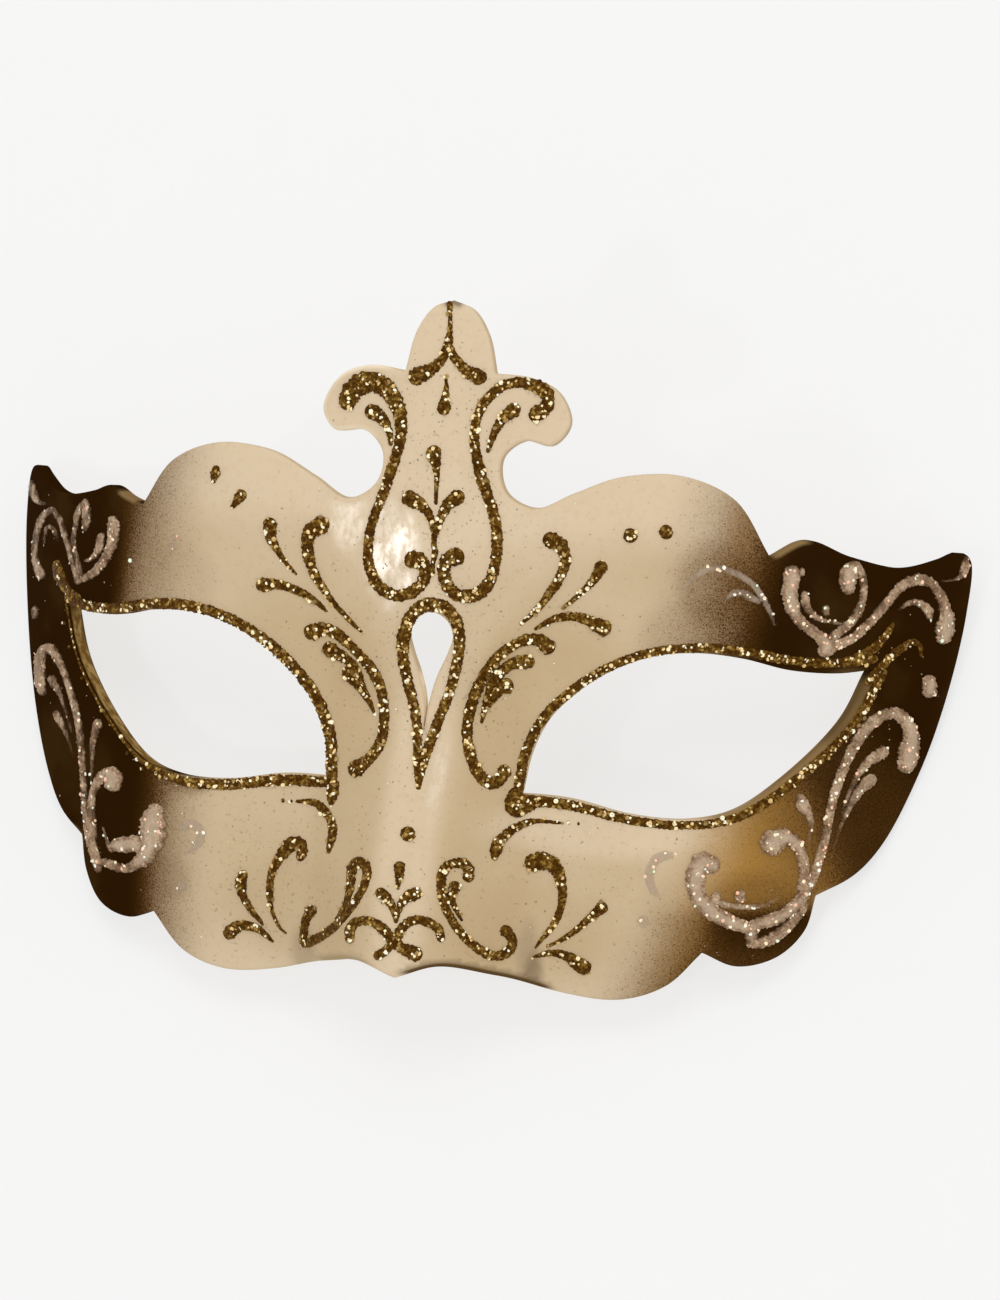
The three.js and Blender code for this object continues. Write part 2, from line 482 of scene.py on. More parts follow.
@dataclass(frozen=True)
class WingSpray:
    """Airbrushed fade along one half of one wing, darker outwards.

    The cover rises from none to its strength across a slanting band whose middle lies
    at middle_x + slant * (y - level) and whose half-width is spread. It is kept to one
    side of the height from_y, over a soft border.
    """

    side: int
    middle_x: float
    spread: float
    level: float
    slant: float
    from_y: float
    upward: bool
    border: float = 9.0
    strength: float = 1.0

    def cover(self, x: Points, y: Points) -> Points:
        """Works out how much paint lands at each place, from 0 to 1."""
        way = 1.0 if self.upward else -1.0
        middle = self.middle_x + self.slant * (y - self.level)
        fade = smooth_step(middle - self.spread, middle + self.spread, self.side * x)
        half = self.side * x > 0
        kept = smooth_step(-self.border, 0.0, way * (y - self.from_y))
        return self.strength * fade * half * kept


# BATCH is how many points are measured at one time.
BATCH = 3000
Sprays = tuple[WingSpray | Spray, ...]


@dataclass
class MaskShell:
    """Pressed-paper shell with its cut edges, its painted front and its bare inside.

    Lengths are in millimetres. A band holds the distances from a cut edge at which a
    wear or a finish starts to change and has changed.
    """

    spacing: float = 1.05
    grid_low: tuple[float, float] = (-98.0, -62.0)
    grid_high: tuple[float, float] = (98.0, 78.0)
    grid_clear: float = 0.3
    rim_step: float = 0.7
    front_round: float = 0.7
    back_round: float = 0.5
    rings: tuple[float, ...] = (0.09, 0.27, 0.55, 0.9)
    ring_clear: float = 0.9
    merge: float = 1e-5
    on_edge: float = 1e-4
    wall_rows: int = 3
    wall_raggedness: float = 0.05
    wall_wave: float = 5.0
    wall_seed: int = 20
    unevenness: float = 0.10
    uneven_wave: float = 34.0
    uneven_seed: int = 5
    uneven_band: tuple[float, float] = (0.0, 6.0)
    back_unevenness: float = 1.6
    rim_band: tuple[float, float] = (0.15, 0.9)
    lid_band: tuple[float, float] = (1.0, 1.8)
    dark_rim_band: tuple[float, float] = (0.5, 1.3)
    back_band: tuple[float, float] = (0.3, 1.1)
    lid_wall: float = 0.9
    shade: Sprays = (
        WingSpray(-1, 56.2, 13.0, 28.0, -0.15, 8.0, True),
        WingSpray(-1, 50.0, 11.0, -26.0, 0.0, -12.0, False),
        WingSpray(-1, 66.0, 4.0, 0.0, 0.0, 20.0, False),
        Spray(-47, -20, 3, 2, 2.2, 0.35),
        WingSpray(1, 51.8, 14.5, 22.0, 0.20, 6.0, True),
        WingSpray(1, 63.8, 12.5, -20.0, -0.40, -4.0, False, 9.0, 0.88),
        WingSpray(1, 50.0, 11.0, -37.0, 0.50, -39.0, False, 6.0, 0.85),
        WingSpray(1, 84.0, 9.0, -10.0, -0.9, 6.0, False),
        Spray(61.0, -37.0, 5.5, 4.5, 2.2, 0.42),
        Spray(47, -36, 3, 3, 2.4, 0.08),
        Spray(51.0, 24, 3.5, 4.5, 2.3, 0.30),
        Spray(47.0, 14, 5, 4, 2.2, 0.14),
        Spray(-55, -23, 3, 3, 2.4, 0.25),
        Spray(-50, 17, 4, 4, 2.4, 0.12),
    )
    # Bronze paint with painted sheen: laid brighter under the right eye and on the right brow lobe's edge,
    # where the sheen falls.
    gilt: Sprays = (
        WingSpray(1, 55.0, 8.0, -20.0, 0.30, 2.0, False, 9.0, 0.9),
        Spray(60, 30, 4, 8, 2.6, 0.5),
    )
    # Painted shade: deeper ivory on the nose flanks, beside the inner eye corners, round the brows and
    # cheeks and over the lower face.
    painted_shade: Sprays = (
        Spray(0, -22, 60, 22, 1.9, 0.34),
        Spray(37, 17, 20, 8, 2.5, 0.42),
        Spray(-36, 17, 20, 8, 2.5, 0.38),
        Spray(41, -40, 14, 9, 2.2, 0.20),
        Spray(-41, -40, 14, 9, 2.2, 0.12),
        Spray(23, -2, 10, 12, 2.2, 0.45),
        Spray(-22, 0, 10, 12, 2.2, 0.35),
        Spray(14, -22, 5, 22, 2.0, 0.40),
        Spray(-14, -22, 5, 22, 2.0, 0.35),
        Spray(20, -42, 10, 6, 2.2, 0.35),
        Spray(-20, -42, 10, 6, 2.2, 0.35),
    )
    # Painted highlight: lifts the painted shade off the nose ridge and off a band of sheen on the right
    # cheek.
    painted_highlight: Sprays = (
        Spray(0, -20, 3.4, 30, 2.0, 0.95),
        Spray(33, -22.5, 11, 3.2, 2.2, 1.0),
    )
    # Painted shadow in the creases beside the nose's lower flanks, with a faint darker patch on the left
    # cheek.
    painted_crease_shadow: Sprays = (
        Spray(22.6, -50.5, 0.9, 2.6, 2.6, 0.55),
        Spray(21.5, -46.0, 0.9, 3.0, 3.0, 0.30),
        Spray(-21.3, -49.5, 1.5, 2.6, 2.6, 0.30),
        Spray(-50.0, -39.5, 3.5, 3.0, 1.8, 0.20),
    )
    gloss: Sprays = (
        Spray(-8.2, 25.2, 3.4, 6.6, 1.8, 1.0),
        Spray(-17.0, 30.0, 2.2, 5.0, 2.0, 0.42),
        Spray(-21.5, 53.0, 2.5, 4.5, 2.0, 0.40),
        Spray(4.0, -14.0, 0.9, 4.4, 2.2, 1.0),
        Spray(29.0, -23.2, 7.0, 1.8, 2.0, 0.4),
    )
    gilded_cut: Sprays = (
        Spray(-72, -4, 9, 13, 1.5, 1.0),
        Spray(-62, -17, 7, 6, 1.7, 1.0),
    )
    bare_rim: Sprays = (
        Spray(-63.8, 30.6, 1.7, 2.4, 1.6, 0.80),
        Spray(63.6, 30.4, 2.6, 1.8, 1.6, 0.9),
        Spray(-71.5, -35.4, 1.6, 1.4, 1.8, 0.7),
        Spray(72.0, -34.2, 1.6, 1.4, 1.8, 0.7),
    )
    rubbed_lid: Sprays = (
        Spray(74.5, 0.0, 4.5, 5.5, 1.6, 0.50),
        Spray(65.5, -9.5, 6.0, 5.0, 1.6, 0.85),
        Spray(56.5, -16.5, 5.0, 2.5, 1.8, 0.80),
    )
    # Darker brown along the cut edge under the nose and at the crest's tip.
    dark_rim: Sprays = (
        Spray(6.5, -46.8, 5.0, 1.8, 1.8, 1.0),
        Spray(13.5, -48.4, 5.0, 2.0, 1.8, 1.0),
        Spray(20.5, -51.4, 4.0, 2.2, 1.8, 1.0),
        Spray(-14.0, -47.5, 7.0, 2.2, 1.6, 0.35),
        Spray(0.0, 72.4, 1.2, 1.2, 2.0, 0.7),
    )
    # Painted highlight along the rim of the crest's left lobe.
    painted_rim_highlight: Sprays = (
        Spray(-19.0, 59.5, 6.0, 2.5, 1.6, 0.8),
        Spray(-24.0, 54.0, 2.5, 5.0, 1.6, 0.5),
        Spray(-19.0, 47.5, 5.0, 1.8, 1.6, 0.6),
    )
    # Painted light on the walls of the teardrop's narrow slot, lighter than the shadow there.
    painted_slot_light: Sprays = (Spray(0.2, 2.0, 1.8, 5.0, 1.6, 1.0),)
    specked: Sprays = (
        Spray(0, 40, 9, 18, 1.7, 0.8),
        Spray(8, 8, 6, 12, 1.6, 1.0),
        Spray(-9, 6, 5, 12, 1.6, 0.7),
        Spray(-28, -36, 12, 13, 1.7, 1.0),
        Spray(-44, -30, 8, 10, 1.7, 0.6),
        Spray(22, -38, 12, 12, 1.7, 0.5),
    )

    def loops(self) -> list[Points]:
        """Lays out the outline, both eye openings and the teardrop.

        Returns:
            Closed loops of pattern points.
        """
        left = tuple(tuple(reversed(span)) for span in reversed(LEFT_SPANS))
        halves = (span_loop(RIGHT_SPANS, 1, self.rim_step), span_loop(left, -1, self.rim_step))
        openings = ((EYE_SPANS, 1), (EYE_SPANS, -1), (TEARDROP_SPANS, 1))
        return [np.vstack(halves), *(span_loop(*each, self.rim_step) for each in openings)]

    @staticmethod
    def edge_distance(points: Points, loops: list[Points]) -> Points:
        """Measures how far each point is from the nearest cut edge.

        Args:
            points: Pattern points.
            loops: Closed loops of pattern points.

        Returns:
            Distances in millimetres.
        """
        starts = np.vstack(loops)
        runs = np.vstack([np.roll(loop, -1, axis=0) - loop for loop in loops])
        squares = (runs**2).sum(1)
        nearest = np.empty(len(points))
        for first in range(0, len(points), BATCH):
            offset = points[first : first + BATCH, None] - starts[None]
            t = np.clip((offset * runs).sum(2) / squares, 0, 1)
            gap = offset - t[..., None] * runs
            nearest[first : first + BATCH] = np.sqrt((gap**2).sum(2).min(1))
        return nearest

    @staticmethod
    def inside(points: Points, loops: list[Points]) -> Points:
        """Tells which points lie on the material, by counting edges crossed to the right.

        Args:
            points: Pattern points.
            loops: Closed loops of pattern points.

        Returns:
            True for each point inside the outline and outside every opening.
        """
        starts = np.vstack(loops)
        ends = np.vstack([np.roll(loop, -1, axis=0) for loop in loops])
        rise = ends[:, 1] - starts[:, 1]
        rise = np.where(rise == 0, TINY, rise)
        result = np.empty(len(points), bool)
        for first in range(0, len(points), BATCH):
            x, y = points[first : first + BATCH].T[:, :, None]
            spans = (starts[:, 1] > y) != (ends[:, 1] > y)
            cross = starts[:, 0] + (y - starts[:, 1]) / rise * (ends[:, 0] - starts[:, 0])
            result[first : first + BATCH] = (spans & (x < cross)).sum(1) % 2 == 1
        return result

    def fill_points(self, loops: list[Points]) -> Points:
        """Sets rings of points beside each edge and a staggered grid between them.

        Args:
            loops: Closed loops of pattern points.

        Returns:
            Pattern points on the material, none of them on an edge.
        """
        rows = []
        for loop in loops:
            run = np.roll(loop, -1, axis=0) - np.roll(loop, 1, axis=0)
            side = unit_rows(np.stack([-run[:, 1], run[:, 0]], axis=-1))
            for ring in self.rings:
                for way in (1, -1):
                    points = loop + way * ring * side
                    gap = self.edge_distance(points, loops)
                    rows.append(points[gap > self.ring_clear * ring])
        steps = (self.spacing, self.spacing * math.sqrt(0.75))
        xs, ys = (np.arange(*ends) for ends in zip(self.grid_low, self.grid_high, steps))
        grid_x, grid_y = np.meshgrid(xs, ys)
        grid_x = grid_x + (np.arange(len(ys)) % 2 * self.spacing / 2)[:, None]
        grid = np.stack([grid_x.ravel(), grid_y.ravel()], axis=-1)
        grid = grid[self.edge_distance(grid, loops) > self.rings[-1] + self.grid_clear]
        points = np.vstack([*rows, grid])
        return points[self.inside(points, loops)]

    def triangulate(self, loops: list[Points]) -> tuple[Points, Points]:
        """Joins edge, ring and grid points into triangles that keep to the material.

        Args:
            loops: Closed loops of pattern points.

        Returns:
            Pattern points, and rows of three corner indices wound anticlockwise.
        """
        edge_points = np.vstack(loops)
        firsts = np.cumsum([0] + [len(loop) for loop in loops])
        edges = [
            (int(a + i), int(a + (i + 1) % (b - a)))
            for a, b in zip(firsts[:-1], firsts[1:])
            for i in range(b - a)
        ]
        seeds = np.vstack([edge_points, self.fill_points(loops)])
        found = delaunay_2d_cdt([Vector(p) for p in seeds.tolist()], edges, [], 0, self.merge)
        points = np.array([tuple(v) for v in found[0]])
        triangles = np.array(found[2])
        triangles = triangles[self.inside(points[triangles].mean(1), loops)]
        used, triangles = np.unique(triangles, return_inverse=True)
        return points[used], triangles.reshape(-1, 3)

    @staticmethod
    def border(triangles: Points, count: int) -> Points:
        """Finds the triangle sides that no second triangle shares.

        Args:
            triangles: Rows of three corner indices.
            count: Number of points.

        Returns:
            Rows of two corner indices.
        """
        pairs = np.vstack([triangles[:, [0, 1]], triangles[:, [1, 2]], triangles[:, [2, 0]]])
        keys = np.sort(pairs, axis=1) @ np.array([count, 1])
        _, first, uses = np.unique(keys, return_index=True, return_counts=True)
        return pairs[first[uses == 1]]

    def walls(self, flat: Points, border: Points) -> tuple[Points, Points, Points]:
        """Joins the front to the back along the cut edges through rows of ragged points.

        A row at share t of the wall lies at depth top + (low - top) t, plus noise.

        Args:
            flat: Pattern points of the front, which the back repeats after them.
            border: Rows of two corner indices along the cut edges.

        Returns:
            The rows' points on the form, rows of four corner indices, and the indices
            of the front's edge points.
        """
        count = len(flat)
        edge_ids = np.flatnonzero(np.isin(np.arange(count), border))
        x, y = flat[edge_ids].T
        place = np.full(count, -1)
        place[edge_ids] = np.arange(len(edge_ids))
        top, low = -self.front_round, -FORM.thickness + self.back_round
        rows, levels = [], [np.arange(count)]
        for row in range(self.wall_rows):
            t = (row + 1) / (self.wall_rows + 1)
            noise = wave_noise(x, y, self.wall_wave + row, self.wall_seed + row)
            ragged = self.wall_raggedness * noise
            rows.append(FORM.point(x, y, top + (low - top) * t + ragged))
            levels.append(2 * count + row * len(edge_ids) + place)
        levels.append(np.arange(count) + count)
        a, b = border.T
        faces = [
            np.stack([up[b], up[a], down[a], down[b]], axis=-1)
            for up, down in zip(levels[:-1], levels[1:])
        ]
        return np.vstack(rows), np.vstack(faces), edge_ids

    def build(self) -> Piece:
        """Builds the closed shell: front, back and cut walls with rounded rims.

        A front point at distance d from the edge sinks by R - sqrt(R^2 - (R - d)^2)
        where d is under the rim's radius R, and the back rises in the same way.

        Returns:
            The shell object with its paint amounts stored on its vertices.
        """
        loops = self.loops()
        flat, triangles = self.triangulate(loops)
        x, y = flat.T
        gap = self.edge_distance(flat, loops)

        def sink(radius: float) -> Points:
            """Depth of a rounded rim of this radius at every pattern point."""
            inner = np.clip(radius - gap, 0, radius)
            return radius - np.sqrt(np.maximum(radius**2 - inner**2, 0))

        hand = self.unevenness * wave_noise(x, y, self.uneven_wave, self.uneven_seed)
        hand = hand * smooth_step(*self.uneven_band, gap)
        front = FORM.point(x, y, hand - sink(self.front_round))
        back_depth = -FORM.thickness + self.back_unevenness * hand + sink(self.back_round)
        back = FORM.point(x, y, back_depth)
        walls, wall_faces, edge_ids = self.walls(flat, self.border(triangles, len(flat)))
        faces = triangles.tolist() + (triangles[:, ::-1] + len(flat)).tolist()
        faces += wall_faces.tolist()
        points = FORM.to_frame(np.vstack([front, back, walls]))
        piece = make_object("painted_mask_shell", points, faces, True)

        self.store_paint(piece, flat, flat[edge_ids], gap)
        LOG.info("shell: %d triangles in the pattern, %d edge points", len(triangles), len(edge_ids))
        return piece

    def store_paint(self, piece: Piece, flat: Points, ring: Points, gap: Points) -> None:
        """Stores on the shell's vertices how much of each paint and wear, and of the painted shade and
        light, they carry.

        Args:
            piece: The shell, with its points in the order front, back, wall rows.
            flat: Pattern points of the front, and again of the back.
            ring: Pattern points of one wall row.
            gap: Distance of each front point from the nearest cut edge.
        """
        walls = np.tile(ring, (self.wall_rows, 1))
        x, y = np.vstack([flat, flat, walls]).T
        ones = np.ones(len(walls))

        def by_edge(band: tuple[float, float], wall: float = 1.0) -> Points:
            """Share that fades from 1 at a cut edge to 0 past a band, on both faces."""
            fade = 1 - smooth_step(*band, gap)
            return np.concatenate([fade, fade, wall * ones])

        on_edge = (gap < self.on_edge) * 1.0
        bare = np.concatenate([0 * gap, smooth_step(*self.back_band, gap), 0 * ones])
        add_values(piece, "cut_edge", np.concatenate([on_edge, on_edge, ones]))
        add_values(piece, "bare_back", bare)
        for name in ("shade", "gilt", "painted_crease_shadow", "gloss", "gilded_cut", "painted_slot_light", "specked"):
            add_values(piece, name, self.paint(getattr(self, name), x, y))
        # Painted shade, taken off again where the painted highlight lies.
        painted_shade = self.paint(self.painted_shade, x, y) * (1 - self.paint(self.painted_highlight, x, y))
        add_values(piece, "painted_shade", painted_shade)
        shares = {
            "bare_rim": by_edge(self.rim_band),
            "painted_rim_highlight": by_edge(self.rim_band),
            "rubbed_lid": by_edge(self.lid_band, self.lid_wall),
            "dark_rim": by_edge(self.dark_rim_band),
        }
        for name, share in shares.items():
            add_values(piece, name, self.paint(getattr(self, name), x, y) * share)

    @staticmethod
    def paint(passes: Sprays, x: Points, y: Points) -> Points:
        """Lays passes of the airbrush over each other: cover = 1 - product of gaps.

        Args:
            passes: Passes of one paint.
            x: Pattern positions across.
            y: Pattern positions up.

        Returns:
            Cover from 0 to 1 at each position.
        """
        bare = np.ones_like(x)
        for spray in passes:
            bare = bare * (1 - np.clip(spray.cover(x, y), 0, 1))
        return 1 - bare


# Glue lines


@dataclass(frozen=True)
class Stroke:
    """Line of glitter glue: its middle and half-width, from one end to the other.

    Args:
        knots: Rows of across, down and half-width, in photograph pixels, or of
            across, up and half-width in pattern millimetres.
        body: How much glue it holds, from 0 for a clear smear to 1.
        space: Plane in which the knots are laid out.
    """

    knots: Knots
    body: float = 1.0
    space: Space = Space.PHOTO

    def scale(self) -> float:
        """Number of the knots' units in a millimetre."""
        return 1.0 if self.space is Space.PATTERN else CAMERA.pixels_per_mm

    def on_pattern(self, points: Points) -> Points:
        """Moves points from the knots' plane to the pattern."""
        return points if self.space is Space.PATTERN else CAMERA.cast(points)


DOT_HALF = 0.4


def dot(x: float, y: float, radius: float, tall: float = 0.0, body: float = 1.0) -> Stroke:
    """Sets a single drop of glue at a pixel, taller than wide by some pixels."""
    half = max(tall / 2, DOT_HALF)
    return Stroke(((x, y - half, radius), (x, y, radius), (x, y + half, radius)), body)


GOLD_STROKES: tuple[Stroke, ...] = (
    # crest: the three-armed sprig and the drops under it
    Stroke(((449.5, 304, 3.2), (450.2, 318, 2.4), (450, 330, 2.8), (448.8, 340, 4.4), (448, 347, 5.2))),
    Stroke(((447.5, 346, 4.6), (443.5, 357, 5), (438.2, 364, 5.6), (428.4, 371, 7.2), (417, 376.5, 9))),
    Stroke(((448.5, 346, 4.2), (453, 355, 4.6), (459.4, 363.5, 5), (467.6, 371.5, 6), (479, 376.6, 8.2))),
    Stroke(((446, 377, 1.8), (446.4, 389, 3), (445, 399, 5), (444.2, 408, 7.4))),
    Stroke(((434, 453, 7.8), (435.6, 463, 5.6), (437, 474, 3), (436.6, 482, 2.8), (436.2, 492, 2.1),
        (436, 503, 2))),
    # crest: left arm's scroll down to its curl
    Stroke(((348, 401, 9.6), (354, 389, 10.6), (368, 382, 10.8), (382, 385, 9.8), (392, 396, 8.4),
        (398.6, 408, 7.6), (401.2, 421, 6.7), (401, 435, 6), (398, 449, 5.4), (394, 462, 5.4),
        (389, 475.6, 5.4), (385, 488.6, 5.3), (378.6, 505, 4.8), (373.6, 518, 4.8), (369.8, 532, 4.9),
        (368, 548, 5), (369, 564, 5.4), (373.8, 579, 5.9), (384, 590.5, 6.2), (398, 595.4, 6.4),
        (414, 591, 6.4), (423.4, 580, 6.4), (425.6, 569, 6.4), (419, 561, 8.6), (413, 560, 9))),
    Stroke(((372.5, 411.5, 8), (380.5, 417.5, 6.4), (387, 426, 4.6), (390, 436, 3.2), (390.5, 444, 2.2))),
    # crest: right arm's scroll down to its curl
    Stroke(((536.6, 414.5, 8.4), (547.5, 405, 6.8), (546.8, 394, 7.2), (539, 387.6, 7.2), (529, 384, 6),
        (517, 382.4, 5.4), (503, 386, 5.2), (493, 393.6, 5.2), (483.6, 404, 5), (477.6, 416, 4.9),
        (474.8, 430, 4.8), (475, 446, 5), (477.6, 461, 5.4), (481.2, 476, 5.8), (485.6, 490, 5.8),
        (491, 504.6, 5.4), (494.6, 519, 5.4), (497, 536, 5.8), (496.8, 553, 5.8), (494.4, 568, 5.8),
        (489.6, 581.6, 6.2), (481, 591.6, 6.8), (468, 596.4, 6.6), (454.4, 593.4, 6.6), (445.6, 582, 6.4),
        (443.8, 569, 6.4), (448, 560, 7.8), (456, 556.6, 8.6))),
    Stroke(((514, 410, 7.2), (505, 416, 6.2), (499, 424, 4.8), (494, 434, 3.8), (490, 444, 3),
        (488, 451, 2))),
    # sprig inside the crest
    Stroke(((410, 499, 8.4), (419, 503.5, 6.6), (427.4, 512, 4.8), (432, 523, 3.6), (433.6, 531, 3.2))),
    Stroke(((457, 497.4, 8), (449, 504, 6.2), (443, 513, 5), (439.4, 523, 3.9), (436.6, 532, 3.2))),
    Stroke(((434.6, 531, 3.4), (434, 543, 2.8), (435, 552, 3.4), (433, 563, 2.4), (432.5, 573, 2.4))),
    # round the teardrop
    Stroke(((418.6, 788, 2.6), (418.6, 775, 4.6), (417.6, 752, 4.8), (417.2, 731, 4.8), (415, 712, 5.2),
        (410.7, 693, 5.4), (406, 674, 5.6), (403.2, 655, 6), (403.8, 636, 6.8), (410.7, 617, 6.6),
        (421, 607, 6.8), (432, 604.5, 7), (445, 608, 6.8), (455, 619, 6.4), (459.5, 636, 6),
        (457.8, 659, 5.5), (453, 678.6, 5.3), (447.6, 697.6, 5.2), (440, 716.7, 5.3), (432.7, 735.7, 5.3),
        (425.5, 754.8, 5.2), (420.6, 773, 4.4), (419, 786, 2.8))),
    # left brow
    Stroke(((216, 469, 3.8), (215, 474, 4.9), (213.5, 481, 2.4))),
    Stroke(((241, 495, 6), (237.5, 500.5, 4.8), (232.5, 506.5, 2.4))),
    Stroke(((269.8, 524.5, 7), (271, 538, 5.2), (276, 547.6, 3.9), (281, 556, 3), (288, 565, 2.4),
        (296, 574, 1.5))),
    Stroke(((321, 525, 9), (311, 531.5, 8), (307.6, 543, 6.3), (308.3, 555, 5.9), (311.6, 567, 5),
        (317, 579, 4.5), (324.6, 590.5, 3.8), (333.5, 602.5, 3), (343.5, 614, 2.5), (353, 624, 2.2),
        (361.5, 631.5, 1.4))),
    Stroke(((263, 585, 7.4), (274, 584, 6), (285, 586, 4.8), (296, 590, 4.3), (307, 596, 3.9),
        (317, 602.5, 3.2), (326.5, 611, 1.8))),
    Stroke(((312, 632, 8.4), (324, 628.6, 6.6), (335.7, 633.3, 5.7), (347.6, 643, 5.1), (358.3, 653.6, 5),
        (367.9, 664.3, 5.4), (376, 677.4, 5.6), (381.4, 690.5, 5.4), (383.5, 705, 5.2), (384, 719, 5.2),
        (382.9, 733.3, 5.4), (378.6, 746.4, 5.6), (370.2, 757, 5.8), (356, 769.4, 8.2))),
    Stroke(((329.5, 649, 7.4), (340, 655.5, 6.2), (349, 661, 5), (356, 668, 3.6), (361, 677, 2.6))),
    Stroke(((350.5, 673, 8.6), (358, 683, 6.2), (364, 692, 4.6), (369.5, 702, 3), (374, 712.5, 1.5))),
    # right brow
    Stroke(((551, 540, 8.6), (561, 546, 7.4), (565.4, 558, 5.8), (563.4, 570, 5.4), (557.6, 582, 5),
        (549, 594, 4.4), (540.4, 605.5, 3.6), (531, 615, 2.8), (521, 624, 1.5))),
    Stroke(((601, 567, 6.6), (597, 575, 5.6), (590, 584, 4.2), (581, 593, 3), (572, 601, 2.4),
        (562.5, 608, 1.5))),
    Stroke(((535.5, 629, 1.5), (545, 623.5, 2.8), (556, 618.5, 3.8), (568, 616.5, 4.4), (580, 617.5, 5),
        (591, 622, 6.2), (603, 628, 8.4))),
    Stroke(((547.5, 646.5, 8.2), (538, 640, 6.2), (526, 640, 5.5), (516, 644, 5.2), (506, 650, 5.4),
        (497, 658, 5.6), (489, 668, 5.7), (482.4, 678.5, 5.9), (477.4, 689, 5.8), (472.6, 701, 5.6),
        (469.4, 713, 5.6), (467.6, 725, 5.6), (467.4, 737, 5.6), (469, 749, 5.9), (472, 760, 6),
        (477, 771, 6), (484, 779.6, 6), (493, 783.4, 6.2), (500, 779, 6.4), (504, 772, 7.4))),
    Stroke(((528, 662, 7), (519, 662, 6.4), (510, 665, 5.8), (502, 671, 5.4), (495, 680, 5),
        (490, 690, 4.6), (486.6, 702, 4), (484, 712, 3), (481.6, 722, 1.6))),
    Stroke(((506, 686, 8), (499, 690, 6), (493, 698, 4.6), (488, 705, 3.5))),
    dot(630.2, 535.6, 7.2),
    dot(666, 532, 7.2),
    # under the left eye and the left cheek
    dot(283, 800.5, 1.8),
    dot(291.6, 801, 1.3),
    Stroke(((297, 801.4, 1.7), (306, 801.4, 2.8), (315, 803, 3.9), (321.4, 807, 4.4), (327, 813.6, 4.5),
        (331.3, 821, 4.5), (333, 829, 4.6), (332, 837, 4.5), (330.4, 844.5, 3.8), (328.6, 851.5, 2.4))),
    Stroke(((300.6, 857, 4.6), (302.4, 851, 6), (299.5, 844.6, 7.4), (292, 844, 7.4), (285.3, 850.4, 6.6),
        (280, 857.5, 5.2), (275.8, 864, 4.6), (272, 873, 4), (270, 884, 4), (269.9, 894, 3.9),
        (270.3, 903, 2.8), (272.5, 912, 2.1), (276.6, 922, 1.8), (281.5, 929.5, 1.5), (286, 933, 1.1))),
    Stroke(((243, 875, 5), (241, 882, 6.4), (241.2, 890, 5), (244.3, 898.6, 4), (249.3, 907, 3.5),
        (254.6, 915, 3), (260, 920.5, 2.1), (262.5, 924.5, 1.3))),
    Stroke(((230, 933, 7), (236.6, 927.5, 5.8), (244, 925.5, 4.8), (252.3, 927, 4.4), (259.3, 930, 3.8),
        (265.5, 934.6, 2.8), (272.5, 941.5, 1.3))),
    # left of the nose
    Stroke(((336.4, 918.6, 1.4), (340.7, 913, 2.3), (345.7, 904.3, 3), (349, 894.3, 3.6),
        (350.6, 885, 4.2), (350.8, 877, 4.6))),
    Stroke(((350.8, 876, 4.6), (353, 866, 5.2), (359.3, 862.4, 5.4), (365.6, 865.6, 5),
        (366.8, 873.6, 4.6), (364, 885.7, 4.1), (358.3, 897, 3.9), (351.7, 907, 4), (344.3, 916.4, 4),
        (336.4, 925, 4.2), (327.9, 932, 4.4), (319.3, 937.4, 4.6), (311, 941.6, 5), (305, 943.6, 4.4))),
    Stroke(((303.8, 941.5, 4.4), (304, 930, 4.2), (305.8, 921, 4.4), (308.6, 914.6, 4.9),
        (311, 910.5, 5.4))),
    # on the nose
    dot(407.9, 834, 7.4),
    Stroke(((399.7, 867, 6), (399.3, 875.7, 4.6), (398.3, 883, 2.8), (397.9, 888.6, 1.4))),
    Stroke(((380.7, 893.3, 5.8), (387, 898.6, 5), (391.4, 905.7, 4), (394.7, 914.3, 3.2),
        (396, 921.4, 2))),
    Stroke(((415.7, 893.6, 6.6), (407.9, 897, 5.6), (402, 902.4, 4.4), (398.6, 910, 3.4),
        (396.6, 918.6, 2.2))),
    Stroke(((350, 938.6, 5), (350, 930, 5), (354.3, 923.4, 5), (362, 920.8, 4.6), (370.7, 921.4, 4.6),
        (379.3, 925.7, 5), (385.7, 932, 5.4), (392, 940, 5.6), (400.7, 947, 5.8), (408, 950.8, 6.8),
        (414.6, 953.8, 8.2))),
    Stroke(((441, 938, 4.4), (439.4, 931, 4.4), (433.5, 925, 4.6), (425, 921.5, 4.6), (417.5, 919.8, 4.6),
        (409, 922, 4.8), (402, 928.6, 5), (397.5, 936, 5.2), (391.4, 944.3, 4.8), (385, 951, 4.4),
        (378.3, 955.6, 5))),
    # right of the nose
    Stroke(((468.4, 877, 5.6), (468.2, 869, 5.8), (463, 863.5, 5.4), (454.5, 863.5, 4.8),
        (446, 867.5, 5.2), (441.6, 876, 5), (441.4, 887, 5), (443, 898, 5), (445.5, 908, 4.6),
        (450, 917, 4.4), (456.6, 927, 4.4), (463.5, 936, 4.4), (472, 944, 4.5), (481, 950.5, 4.7),
        (490, 955, 4.8), (499, 955.6, 4.8), (506.6, 952.6, 5), (511.8, 946, 5), (511.6, 938.5, 4.8),
        (506, 931, 6.4))),
    Stroke(((454.6, 887, 6.2), (451.8, 895, 4.6), (452.8, 903, 3.2), (457, 912, 2.4), (461.5, 920, 1.5))),
    # under the right eye and the right cheek
    Stroke(((494.6, 857, 3.6), (496, 850, 6.4), (499, 842.5, 5.6), (504.6, 836, 4.9), (512, 830, 4.4),
        (520.6, 825.5, 4), (529.4, 822, 3.3), (538.2, 821.2, 2.5), (547, 821.5, 2.1), (556, 822.5, 1.8),
